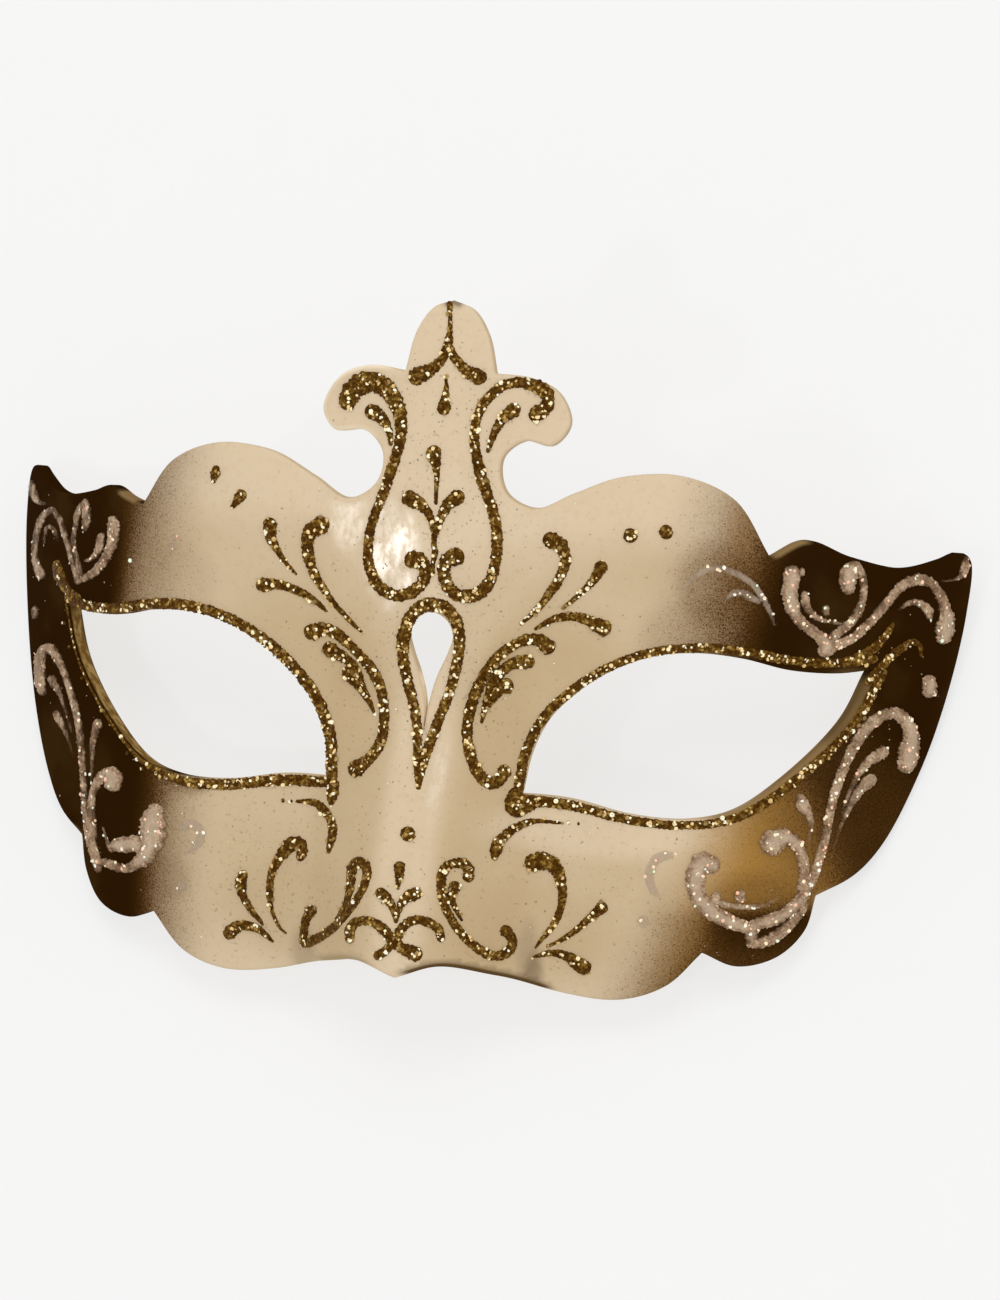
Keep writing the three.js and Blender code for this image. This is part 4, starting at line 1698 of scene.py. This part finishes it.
    def group(self, group: bpy.types.NodeTree, **values: Socket | float) -> Node:
        """Places a node group and fills its inputs."""
        return self.fill(self.add("ShaderNodeGroup", node_tree=group), **values)


def new_material(name: str) -> tuple[Material, NodeBench, Node]:
    """Makes an empty material with its Principled shader.

    Args:
        name: Name of the material.

    Returns:
        The material, its bench and the shader node.
    """
    material = bpy.data.materials.new(name)
    material.use_nodes = True
    material.node_tree.nodes.clear()
    bench = NodeBench(material.node_tree)
    shader = bench.add("ShaderNodeBsdfPrincipled")
    output = bench.add("ShaderNodeOutputMaterial")
    bench.join(shader.outputs[0], output.inputs[0])
    return material, bench, shader


def new_group(
    name: str, inputs: dict[str, str], outputs: dict[str, str]
) -> tuple[NodeBench, bpy.types.NodeOutputs, bpy.types.NodeInputs]:
    """Makes a node group with its sockets.

    Args:
        name: Name of the group.
        inputs: Kind of each input socket, by its name.
        outputs: Kind of each output socket, by its name.

    Returns:
        The group's bench, the sockets that give its inputs and those that take its
        outputs.
    """
    group = bpy.data.node_groups.new(name, "ShaderNodeTree")
    for way, sockets in (("INPUT", inputs), ("OUTPUT", outputs)):
        for label, kind in sockets.items():
            group.interface.new_socket(label, in_out=way, socket_type=f"NodeSocket{kind}")
    bench = NodeBench(group)
    source, sink = bench.add("NodeGroupInput"), bench.add("NodeGroupOutput")
    return bench, source.outputs, sink.inputs


@dataclass(frozen=True)
class Stipple:
    """Group that breaks an airbrushed cover into fine droplets.

    Mask = cover + depth * grain * 4 * cover * (1 - cover), with the grain from -1/2 to
    1/2, plus single droplets where the cover is thin.
    """

    detail: float = 2.5
    roughness: float = 0.7
    grain_band: Band = (0.30, 0.70, -0.5, 0.5)
    drops_per_metre: float = 2100.0
    drop_share: float = 1.1
    drop_band: Band = (0.15, 0.45, 0.38, 0.0)
    thin_band: Band = (0.004, 0.06, 0.0, 1.0)

    def build(self) -> bpy.types.NodeTree:
        """Makes the group.

        Returns:
            Group with inputs Place, Cover, Grain and Depth, and output Mask.
        """
        kinds = {"Place": "Vector", "Cover": "Float", "Grain": "Float", "Depth": "Float"}
        bench, given, wanted = new_group("airbrush_stipple", kinds, {"Mask": "Float"})
        place, cover = given["Place"], given["Cover"]
        grain = bench.noise(place, Noise(given["Grain"], self.detail, self.roughness))
        height = bench.remap(grain, self.grain_band)
        bare = bench.less(1.0, cover)
        middle = bench.times(bench.times(cover, bare), 4.0)
        swing = bench.times(bench.times(height, middle), given["Depth"])
        mask = bench.plus(cover, swing, clamp=True)
        drop = bench.add("ShaderNodeTexVoronoi", feature="F1")
        bench.fill(drop, Vector=place, Scale=self.drops_per_metre)
        lot = bench.add("ShaderNodeSeparateColor")
        bench.join(drop.outputs["Color"], lot.inputs[0])
        chosen = bench.math("LESS_THAN", lot.outputs[0], bench.times(cover, self.drop_share))
        round_drop = bench.remap(drop.outputs["Distance"], self.drop_band)
        thin = bench.remap(cover, self.thin_band)
        spots = bench.times(bench.times(chosen, round_drop), bench.times(thin, bare))
        bench.join(bench.plus(mask, spots, clamp=True), wanted["Mask"])
        return bench.tree


def flake_group() -> bpy.types.NodeTree:
    """Makes the group of glitter flakes: cells with their own tilt and lot number.

    Normal = surface normal + tilt * (cell's colour - 1/2), brought to length 1.

    Returns:
        Group with inputs Place, Scale and Tilt, and outputs Lot and Normal.
    """
    kinds = {"Place": "Vector", "Scale": "Float", "Tilt": "Float"}
    results = {"Lot": "Float", "Normal": "Vector"}
    bench, given, wanted = new_group("glitter_flakes", kinds, results)
    cells = bench.add("ShaderNodeTexVoronoi", feature="F1")
    bench.fill(cells, Vector=given["Place"], Scale=given["Scale"])
    parts = bench.add("ShaderNodeSeparateColor")
    bench.join(cells.outputs["Color"], parts.inputs[0])
    middle = bench.vector("SUBTRACT", cells.outputs["Color"], (0.5, 0.5, 0.5))
    tilt = bench.vector("SCALE", middle.outputs[0])
    bench.join(given["Tilt"], tilt.inputs["Scale"])
    surface = bench.add("ShaderNodeNewGeometry")
    total = bench.vector("ADD", surface.outputs["Normal"], tilt.outputs[0])
    unit = bench.vector("NORMALIZE", total.outputs[0])
    bench.join(parts.outputs[0], wanted["Lot"])
    bench.join(unit.outputs[0], wanted["Normal"])
    return bench.tree


@dataclass(frozen=True)
class ShellPaint:
    """Ivory lacquer with airbrushed dark and bronze wings, bare paper on the back.

    A noise's scale is in repeats per metre, and a band holds the part of a value that
    is used and what it is turned into.
    """

    ivory: Colour = (0.672, 0.536, 0.370, 1)
    # Deeper ivory: the colour of the painted shade and of the random mottle.
    ivory_shade_and_mottle: Colour = (0.465, 0.335, 0.178, 1)
    speck: Colour = (0.20, 0.125, 0.06, 1)
    dark: Colour = (0.0215, 0.0075, 0.0005, 1)
    dark_thin: Colour = (0.044, 0.0205, 0.0045, 1)
    umber: Colour = (0.125, 0.057, 0.0135, 1)
    # Brighter than the bronze paint alone: it also carries painted sheen.
    bronze: Colour = (0.36, 0.180, 0.024, 1)
    # Colour of the painted crease shadow.
    painted_crease_shadow: Colour = (0.150, 0.095, 0.055, 1)
    cut_light: Colour = (0.58, 0.45, 0.29, 1)
    cut_dark: Colour = (0.022, 0.0085, 0.0012, 1)
    cut_gilt: Colour = (0.15, 0.080, 0.020, 1)
    cut_streak: Colour = (0.40, 0.27, 0.10, 1)
    bare_tan: Colour = (0.28, 0.18, 0.075, 1)
    rubbed: Colour = (0.27, 0.170, 0.072, 1)
    # Darker brown of the cut edge in places.
    dark_rim_colour: Colour = (0.10, 0.055, 0.018, 1)
    # Colour of the painted highlight on the crest lobe's rim.
    pale: Colour = (0.90, 0.78, 0.60, 1)
    # Colour of the painted light in the teardrop's slot.
    slot_light: Colour = (0.88, 0.74, 0.54, 1)
    paper: Colour = (0.66, 0.57, 0.45, 1)
    paper_deep: Colour = (0.50, 0.41, 0.30, 1)

    cloud: Noise = Noise(45, 3)
    cloud_glaze: Band = (0.3, 0.75, -0.06, 0.10)
    mottle: Noise = Noise(700, 2, 0.6)
    mottle_colour: Band = (0.45, 0.75, 0.0, 0.14)
    mottle_sheen: Band = (0.3, 0.8, 0.44, 0.56)
    specks: Noise = Noise(1400, 1, 0.5)
    speck_share: Band = (0.68, 0.82, 0.0, 0.34)
    extra_specks: float = 0.05
    bronze_grain: float = 3000.0
    bronze_depth: float = 0.25
    bronze_metal: float = 0.25
    dark_grain: float = 3800.0
    dark_depth: float = 0.28
    umber_gain: float = 1.2
    dark_share: Band = (0.62, 1.0, 0.0, 1.0)
    drift: Noise = Noise(60, 3)
    drift_share: Band = (0.45, 0.7, 0.0, 0.6)

    fibre: Noise = Noise(900, 4, 0.75)
    fibre_share: Band = (0.35, 0.7, 0.0, 0.8)
    paper_cloud: Noise = Noise(60, 3)
    paper_share: Band = (0.4, 0.7, 0.0, 0.5)
    paper_roughness: float = 0.4

    cut_shade: Band = (0.15, 0.7, 0.0, 1.0)
    cut_streaks: Noise = Noise(1500, 3, 0.6, (0.25, 0.25, 1.0))
    streak_gilt: Band = (0.42, 0.68, 0.0, 1.0)
    streak_dark: Band = (0.5, 0.8, 0.0, 0.35)

    pool_streaks: Noise = Noise(640, 3, 0.6, (1.0, 0.42, 1.0))
    pool_share: Band = (0.34, 0.64, 0.16, 0.85)
    coat: float = 0.035
    dark_coat_loss: float = 0.025

    wrinkles: Noise = Noise(260, 3, 0.55)
    wrinkle_bump: Bump = Bump(0.6, 0.00016)
    grain: Noise = Noise(1500, 2, 0.6)
    grain_bump: Bump = Bump(0.4, 0.00003)
    folds: Noise = Noise(900, 3, 0.6, (1.0, 0.35, 1.0))
    fold_bump: Bump = Bump(1.0, 0.0005)
    fibre_bump: Bump = Bump(0.8, 0.0002)

    def build(self, stipple: bpy.types.NodeTree) -> Material:
        """Makes the shell's material.

        Args:
            stipple: Group that breaks the airbrushed cover into droplets.

        Returns:
            The material.
        """
        material, bench, shader = new_material("painted_shell")
        place = bench.place()
        shade, gilt = bench.value("shade"), bench.value("gilt")
        mottle = bench.noise(place, self.mottle)
        bronze_and_sheen_drops = bench.group(stipple, Place=place, Cover=gilt)
        bench.fill(bronze_and_sheen_drops, Grain=self.bronze_grain, Depth=self.bronze_depth)
        dark_drops = bench.group(stipple, Place=place, Cover=shade)
        bench.fill(dark_drops, Grain=self.dark_grain, Depth=self.dark_depth)
        bronze_and_sheen_mask, dark_mask = bronze_and_sheen_drops.outputs[0], dark_drops.outputs[0]
        bare, cut = bench.value("bare_back"), bench.value("cut_edge")
        front = self.front_colour(bench, place, mottle, bronze_and_sheen_mask, dark_mask)
        colour = bench.mix(cut, front, self.cut_colour(bench, place, shade))
        # Wear and colour at the rims, and the painted highlight on the crest lobe's rim.
        rim_wear_and_highlight = {
            "bare_rim": self.bare_tan,
            "rubbed_lid": self.rubbed,
            "dark_rim": self.dark_rim_colour,
            "painted_rim_highlight": self.pale,
        }
        for name, under in rim_wear_and_highlight.items():
            colour = bench.mix(bench.value(name), colour, under)
        fibre = bench.noise(place, self.fibre)
        paper = bench.mix(bench.remap(fibre, self.fibre_share), self.paper, self.paper_deep)
        cloud = bench.remap(bench.noise(place, self.paper_cloud), self.paper_share)
        paper = bench.mix(cloud, paper, self.paper_deep)
        bench.fill(shader, Base_Color=bench.mix(bare, colour, paper))

        covered = bench.times(bronze_and_sheen_mask, bench.less(1.0, dark_mask))
        painted = bench.less(1.0, bench.math("MAXIMUM", bare, cut))
        metal = bench.times(bench.times(covered, painted), self.bronze_metal)
        bench.fill(shader, Metallic=metal)
        rough = bench.remap(mottle, self.mottle_sheen)
        rough = bench.plus(rough, bench.times(bare, self.paper_roughness), clamp=True)
        bench.fill(shader, Roughness=rough)
        streaks = bench.noise(place, self.pool_streaks)
        pool = bench.times(bench.value("gloss"), bench.remap(streaks, self.pool_share))
        coat = bench.less(self.coat, bench.times(dark_mask, self.dark_coat_loss))
        coat = bench.plus(coat, pool, clamp=True)
        bench.fill(shader, Coat_Weight=bench.times(painted, coat))
        bench.fill(shader, Normal=self.relief(bench, place, fibre, bare))
        bench.fill(shader, Coat_Roughness=0.17, Coat_IOR=1.5, IOR=1.45, Specular_IOR_Level=0.0)
        return material

    def front_colour(
        self, bench: NodeBench, place: Socket, mottle: Socket, bronze_and_sheen_mask: Socket, dark_mask: Socket
    ) -> Socket:
        """Lays ivory, painted shade, specks, painted crease shadows, bronze with painted sheen and dark
        paint over each other.

        Args:
            bench: Bench of the material.
            place: Object coordinates.
            mottle: Fine cloudiness.
            bronze_and_sheen_mask: Cover of the bronze paint, which also carries painted sheen.
            dark_mask: Cover of the dark paint.

        Returns:
            The colour's socket.
        """
        # Painted shade and a random cloud deepen the ivory.
        cloud = bench.remap(bench.noise(place, self.cloud), self.cloud_glaze)
        shade_and_cloud = bench.plus(bench.value("painted_shade"), cloud, clamp=True)
        colour = bench.mix(shade_and_cloud, self.ivory, self.ivory_shade_and_mottle)
        colour = bench.mix(bench.remap(mottle, self.mottle_colour), colour, self.ivory_shade_and_mottle)
        specks = bench.noise(place, self.specks)
        specks = bench.plus(specks, bench.times(bench.value("specked"), self.extra_specks))
        colour = bench.mix(bench.remap(specks, self.speck_share), colour, self.speck)
        colour = bench.mix(bench.value("painted_crease_shadow"), colour, self.painted_crease_shadow)
        colour = bench.mix(bronze_and_sheen_mask, colour, self.bronze)
        colour = bench.mix(bench.times(dark_mask, self.umber_gain, clamp=True), colour, self.umber)
        drift = bench.remap(bench.noise(place, self.drift), self.drift_share)
        dark = bench.mix(drift, self.dark, self.dark_thin)
        return bench.mix(bench.remap(dark_mask, self.dark_share), colour, dark)

    def cut_colour(self, bench: NodeBench, place: Socket, shade: Socket) -> Socket:
        """Colours the cut walls: light paper, dark by the wings, gilt in places, and lightened as painted
        light in the teardrop's narrow slot.

        Args:
            bench: Bench of the material.
            place: Object coordinates.
            shade: Cover of the dark paint.

        Returns:
            The colour's socket.
        """
        rim = bench.mix(bench.remap(shade, self.cut_shade), self.cut_light, self.cut_dark)
        streak = bench.noise(place, self.cut_streaks)
        gilt = bench.mix(bench.remap(streak, self.streak_gilt), self.cut_gilt, self.cut_streak)
        rim = bench.mix(bench.value("gilded_cut"), rim, gilt)
        rim = bench.mix(bench.value("painted_slot_light"), rim, self.slot_light)
        return bench.mix(bench.remap(streak, self.streak_dark), rim, self.cut_dark)

    def relief(self, bench: NodeBench, place: Socket, fibre: Socket, bare: Socket) -> Socket:
        """Adds the lacquer's slow wrinkles, fine grain and glossy folds, and the fibres.

        Args:
            bench: Bench of the material.
            place: Object coordinates.
            fibre: Fibre noise.
            bare: 1 on the unpainted back.

        Returns:
            The normal's socket.
        """
        normal = bench.bump(bench.noise(place, self.wrinkles), self.wrinkle_bump)
        normal = bench.bump(bench.noise(place, self.grain), self.grain_bump, normal)
        folds = bench.noise(place, self.folds)
        crinkle = bench.times(folds, bench.value("gloss"))
        normal = bench.bump(crinkle, self.fold_bump, normal)
        return bench.bump(bench.times(fibre, bare), self.fibre_bump, normal)


@dataclass(frozen=True)
class GlitterFinish:
    """Dried glue packed with fine flakes, each a cell with its own lot and tilt.

    The colour runs through the stops as a flake's lot goes from 0 to 1. Milky glue
    turns towards the head colour where it is thickest and, as painted sheen, towards a
    lighter colour where it holds little glue, and shows the paint under its thin edges.
    """

    name: str
    flake_size: float
    tilt: float
    stops: Stops
    metallic: float
    roughness: float
    coat: float
    cloud: Noise
    cloud_share: float
    milky: bool = False
    cloud_band: Band = (0.3, 0.7, 0.0, 1.0)
    roughness_rise: float = 0.12
    roughness_fall: float = 0.08
    head: Colour = (0.66, 0.52, 0.38, 1)
    head_band: Band = (0.72, 1.0, 0.0, 0.50)
    # Painted sheen: thin smears of milky glue are made lighter.
    thin_glue_sheen: Colour = (0.58, 0.46, 0.35, 1)
    film_band: Band = (0.3, 0.9, 0.85, 0.0)
    uneven_band: Band = (0.0, 1.0, 0.72, 1.28)
    edge_band: Band = (0.02, 0.62, 0.0, 1.0)
    body_band: Band = (0.1, 0.8, 0.42, 0.96)

    def build(self, flakes: bpy.types.NodeTree) -> Material:
        """Makes the glitter's material.

        Args:
            flakes: Group of flakes with their own tilts.

        Returns:
            The material.
        """
        material, bench, shader = new_material(self.name)
        place = bench.place()
        cell = bench.group(flakes, Place=place, Scale=1 / MM / self.flake_size, Tilt=self.tilt)
        lot = cell.outputs["Lot"]
        cloud = bench.remap(bench.noise(place, self.cloud), self.cloud_band)
        tone = bench.times(bench.less(cloud, lot), self.cloud_share)
        colour = bench.ramp(bench.plus(lot, tone, clamp=True), self.stops)
        if self.milky:
            body, depth = bench.value("glue_body"), bench.value("glue_depth")
            thick = bench.times(depth, bench.remap(cloud, self.uneven_band), clamp=True)
            colour = bench.mix(bench.remap(depth, self.head_band), colour, self.head)
            colour = bench.mix(bench.remap(body, self.film_band), colour, self.thin_glue_sheen)
            edge = bench.remap(thick, self.edge_band)
            bench.fill(shader, Alpha=bench.times(edge, bench.remap(body, self.body_band)))
        bench.fill(shader, Base_Color=colour)
        bench.fill(shader, Normal=cell.outputs["Normal"])
        dull, bright = self.roughness + self.roughness_rise, self.roughness - self.roughness_fall
        bench.fill(shader, Roughness=bench.remap(lot, (0.0, 1.0, dull, bright)))
        bench.fill(shader, Metallic=self.metallic, Coat_Weight=self.coat)
        bench.fill(shader, Coat_Roughness=0.12, Specular_IOR_Level=0.04)
        return material


@dataclass(frozen=True)
class FlakeFinish:
    """Bright face of the larger flakes, whose colour follows each flake's lot; the near-white stops are
    painted glints.
    """

    name: str
    stops: Stops
    metallic: float
    roughness: float
    grain: Noise = Noise(6000, 1)
    grain_band: tuple[float, float] = (0.3, 0.7)
    grain_swing: tuple[float, float] = (-0.06, 0.08)

    def build(self) -> Material:
        """Makes the flakes' material.

        Returns:
            The material.
        """
        material, bench, shader = new_material(self.name)
        lot = bench.value("flake_lot")
        bench.fill(shader, Base_Color=bench.ramp(lot, self.stops))
        swing = tuple(self.roughness + part for part in self.grain_swing)
        rough = bench.remap(bench.noise(bench.place(), self.grain), self.grain_band + swing)
        bench.fill(shader, Roughness=rough)
        bench.fill(shader, Metallic=self.metallic)
        return material


GOLD_FINISH = GlitterFinish(
    name="gold_glitter",
    flake_size=0.42,
    tilt=0.7,
    stops=(
        (0.0, (0.050, 0.0185, 0.0012, 1)),
        (0.42, (0.082, 0.0325, 0.0026, 1)),
        (0.64, (0.142, 0.070, 0.0095, 1)),
        (0.82, (0.262, 0.152, 0.028, 1)),
        (1.0, (0.57, 0.38, 0.115, 1)),
    ),
    metallic=0.3,
    roughness=0.42,
    coat=0.0,
    cloud=Noise(850, 2.5, 0.6),
    cloud_share=0.55,
)
PEARL_FINISH = GlitterFinish(
    name="pearl_glitter",
    flake_size=0.34,
    tilt=0.3,
    stops=(
        (0.0, (0.158, 0.088, 0.046, 1)),
        (0.3, (0.242, 0.149, 0.085, 1)),
        (0.55, (0.338, 0.221, 0.135, 1)),
        (0.8, (0.448, 0.314, 0.200, 1)),
        (1.0, (0.63, 0.47, 0.32, 1)),
    ),
    metallic=0.0,
    roughness=0.40,
    coat=0.04,
    cloud=Noise(420, 2.5, 0.6),
    cloud_share=0.50,
    milky=True,
)
GOLD_FLAKES = FlakeFinish(
    name="gold_flake",
    # Dull bronze to gold flakes; the near-white top stops are painted glints, bright under any light.
    stops=(
        (0.0, (0.20, 0.115, 0.024, 1)),
        (0.22, (0.42, 0.255, 0.068, 1)),
        (0.45, (0.86, 0.60, 0.245, 1)),
        (0.7, (1.0, 0.86, 0.50, 1)),
        (1.0, (1.0, 0.96, 0.76, 1)),
    ),
    metallic=0.1,
    roughness=0.25,
)
LOOSE_FLAKES = FlakeFinish(
    name="loose_flake",
    # Dull brown to gold flakes; the near-white top stop is a painted glint.
    stops=(
        (0.0, (0.27, 0.19, 0.105, 1)),
        (0.6, (0.34, 0.245, 0.135, 1)),
        (0.9, (0.62, 0.46, 0.22, 1)),
        (1.0, (1.0, 0.90, 0.62, 1)),
    ),
    metallic=0.1,
    roughness=0.35,
)
PEARL_FLAKES = FlakeFinish(
    name="pearl_flake",
    # Iridescent flake colours, all near full brightness: painted sparkle.
    stops=(
        (0.0, (1.0, 0.50, 0.32, 1)),
        (0.35, (1.0, 0.72, 0.52, 1)),
        (0.6, (1.0, 0.88, 0.58, 1)),
        (0.85, (1.0, 0.96, 0.86, 1)),
        (1.0, (0.78, 0.94, 0.66, 1)),
    ),
    metallic=0.15,
    roughness=0.25,
)


# Studio


@dataclass(frozen=True)
class AreaLight:
    """Soft light at a distance from the mask, along a direction of the photograph's view.

    The direction is to the right, up and towards the camera. Lengths are in metres.
    """

    name: str
    direction: tuple[float, float, float]
    distance: float
    size: float
    power: float
    colour: tuple[float, float, float] = (1.0, 1.0, 1.0)
    aim_height: float = 0.03

    def build(self) -> None:
        """Adds the light, aimed at the middle of the mask."""
        data = bpy.data.lights.new(self.name, "AREA")
        data.shape = "DISK"
        data.size = self.size
        data.energy = self.power
        data.color = self.colour
        light = bpy.data.objects.new(self.name, data)
        bpy.context.scene.collection.objects.link(light)
        turn = FORM.turn()
        back, right, top = (turn @ axis for axis in CAMERA.axes())
        r, u, d = self.direction
        away = Vector(right * r + top * u + back * d).normalized()
        light.location = Vector((0, 0, self.aim_height)) + away * self.distance
        light.rotation_mode = "QUATERNION"
        light.rotation_quaternion = away.to_track_quat("Z", "Y")


@dataclass
class Studio:
    """Pale lit table, soft lights and an even pale surround."""

    floor_half: float = 6.0
    floor_cells: int = 40
    floor_rise: float = 0.02
    floor_power: int = 8
    floor_colour: Colour = (0.24, 0.24, 0.24, 1)
    floor_shadow: float = 0.97
    floor_grain: Noise = Noise(90, 3)
    floor_glow: float = 0.66
    surround: float = 0.80
    surround_colour: Colour = (1.0, 0.99, 0.97, 1)
    lights: tuple[AreaLight, ...] = (
        AreaLight("key_light", (-0.482, -0.178, 0.858), 1.6, 0.14, 2.4),
        AreaLight("top_light", (-0.05, 0.62, 0.78), 0.9, 0.5, 1.6),
        AreaLight("right_light", (0.75, -0.1, 0.66), 1.8, 0.5, 2.0, (1.0, 0.96, 0.9)),
    )

    def build(self) -> None:
        """Builds the floor, the surround and the lights."""
        self.build_floor()
        self.build_surround()
        for light in self.lights:
            light.build()
        bpy.context.scene.view_settings.view_transform = "Standard"

    def build_floor(self) -> None:
        """Builds the floor as a low dish grid whose far rim turns up a little.

        Height = rise (r / half)^power, so it is level under the mask.
        """
        count = self.floor_cells + 1
        axis = np.linspace(-self.floor_half, self.floor_half, count)
        x, y = np.meshgrid(axis, axis)
        z = self.floor_rise * (np.hypot(x, y) / self.floor_half) ** self.floor_power
        points = np.stack([x, y, z], axis=-1).reshape(-1, 3)
        cells = np.arange(self.floor_cells)
        i = cells[:, None] * count + cells
        faces = np.stack([i, i + 1, i + count + 1, i + count], axis=-1).reshape(-1, 4)
        floor = make_object("floor", points, faces, True)
        material, bench, shader = new_material("pale_floor")
        grain = bench.noise(bench.place(), self.floor_grain)
        shadow = tuple(self.floor_shadow * c for c in self.floor_colour[:3]) + (1,)
        bench.fill(shader, Base_Color=bench.mix(grain, self.floor_colour, shadow))
        bench.fill(shader, Roughness=0.8)
        bench.fill(shader, Emission_Color=(1, 1, 1, 1), Emission_Strength=self.floor_glow)
        floor.data.materials.append(material)
        floor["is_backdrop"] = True

    def build_surround(self) -> None:
        """Sets the even light around the scene."""
        world = bpy.data.worlds.new("surround")
        world.use_nodes = True
        background = world.node_tree.nodes["Background"]
        background.inputs[0].default_value = self.surround_colour
        background.inputs[1].default_value = self.surround
        bpy.context.scene.world = world


# Assembly


def main() -> None:
    """Builds the mask and its studio in order and reports each piece."""
    logging.basicConfig(level=logging.INFO, format="%(name)s: %(message)s")
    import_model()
    cad_box = tuple(corner.copy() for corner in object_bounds())
    CAMERA.build()
    stipple, flakes = Stipple().build(), flake_group()

    shell = MaskShell()
    shell_piece = shell.build()
    dress(shell_piece, ShellPaint().build(stipple))
    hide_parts(NODE)

    gold_flake = GOLD_FLAKES.build()
    gold = GlueWork(
        glue=Glue.GOLD,
        strokes=GOLD_STROKES + EyeLine().strokes(),
        along_step=0.30,
        rise=0.42,
        roughness=0.08,
        seed=11,
        full_width=0.8,
    )
    dress(gold.build(), GOLD_FINISH.build(flakes))
    gold_bits = LineFlakes(gold, per_square_mm=0.68, radius=(0.22, 0.50), lean=0.5, seed=21)
    dress(gold_bits.build(), gold_flake)
    dress(LooseFlakes().build(shell), LOOSE_FLAKES.build())
    pearl = GlueWork(
        glue=Glue.PEARL,
        strokes=PEARL_STROKES,
        along_step=0.32,
        rise=0.40,
        roughness=0.03,
        seed=12,
        full_width=1.45,
    )
    dress(pearl.build(), PEARL_FINISH.build(flakes))
    pearl_bits = LineFlakes(pearl, per_square_mm=0.32, radius=(0.19, 0.45), lean=0.4, seed=22)
    dress(pearl_bits.build(), PEARL_FLAKES.build())

    Studio().build()


if __name__ == "__main__":
    main()
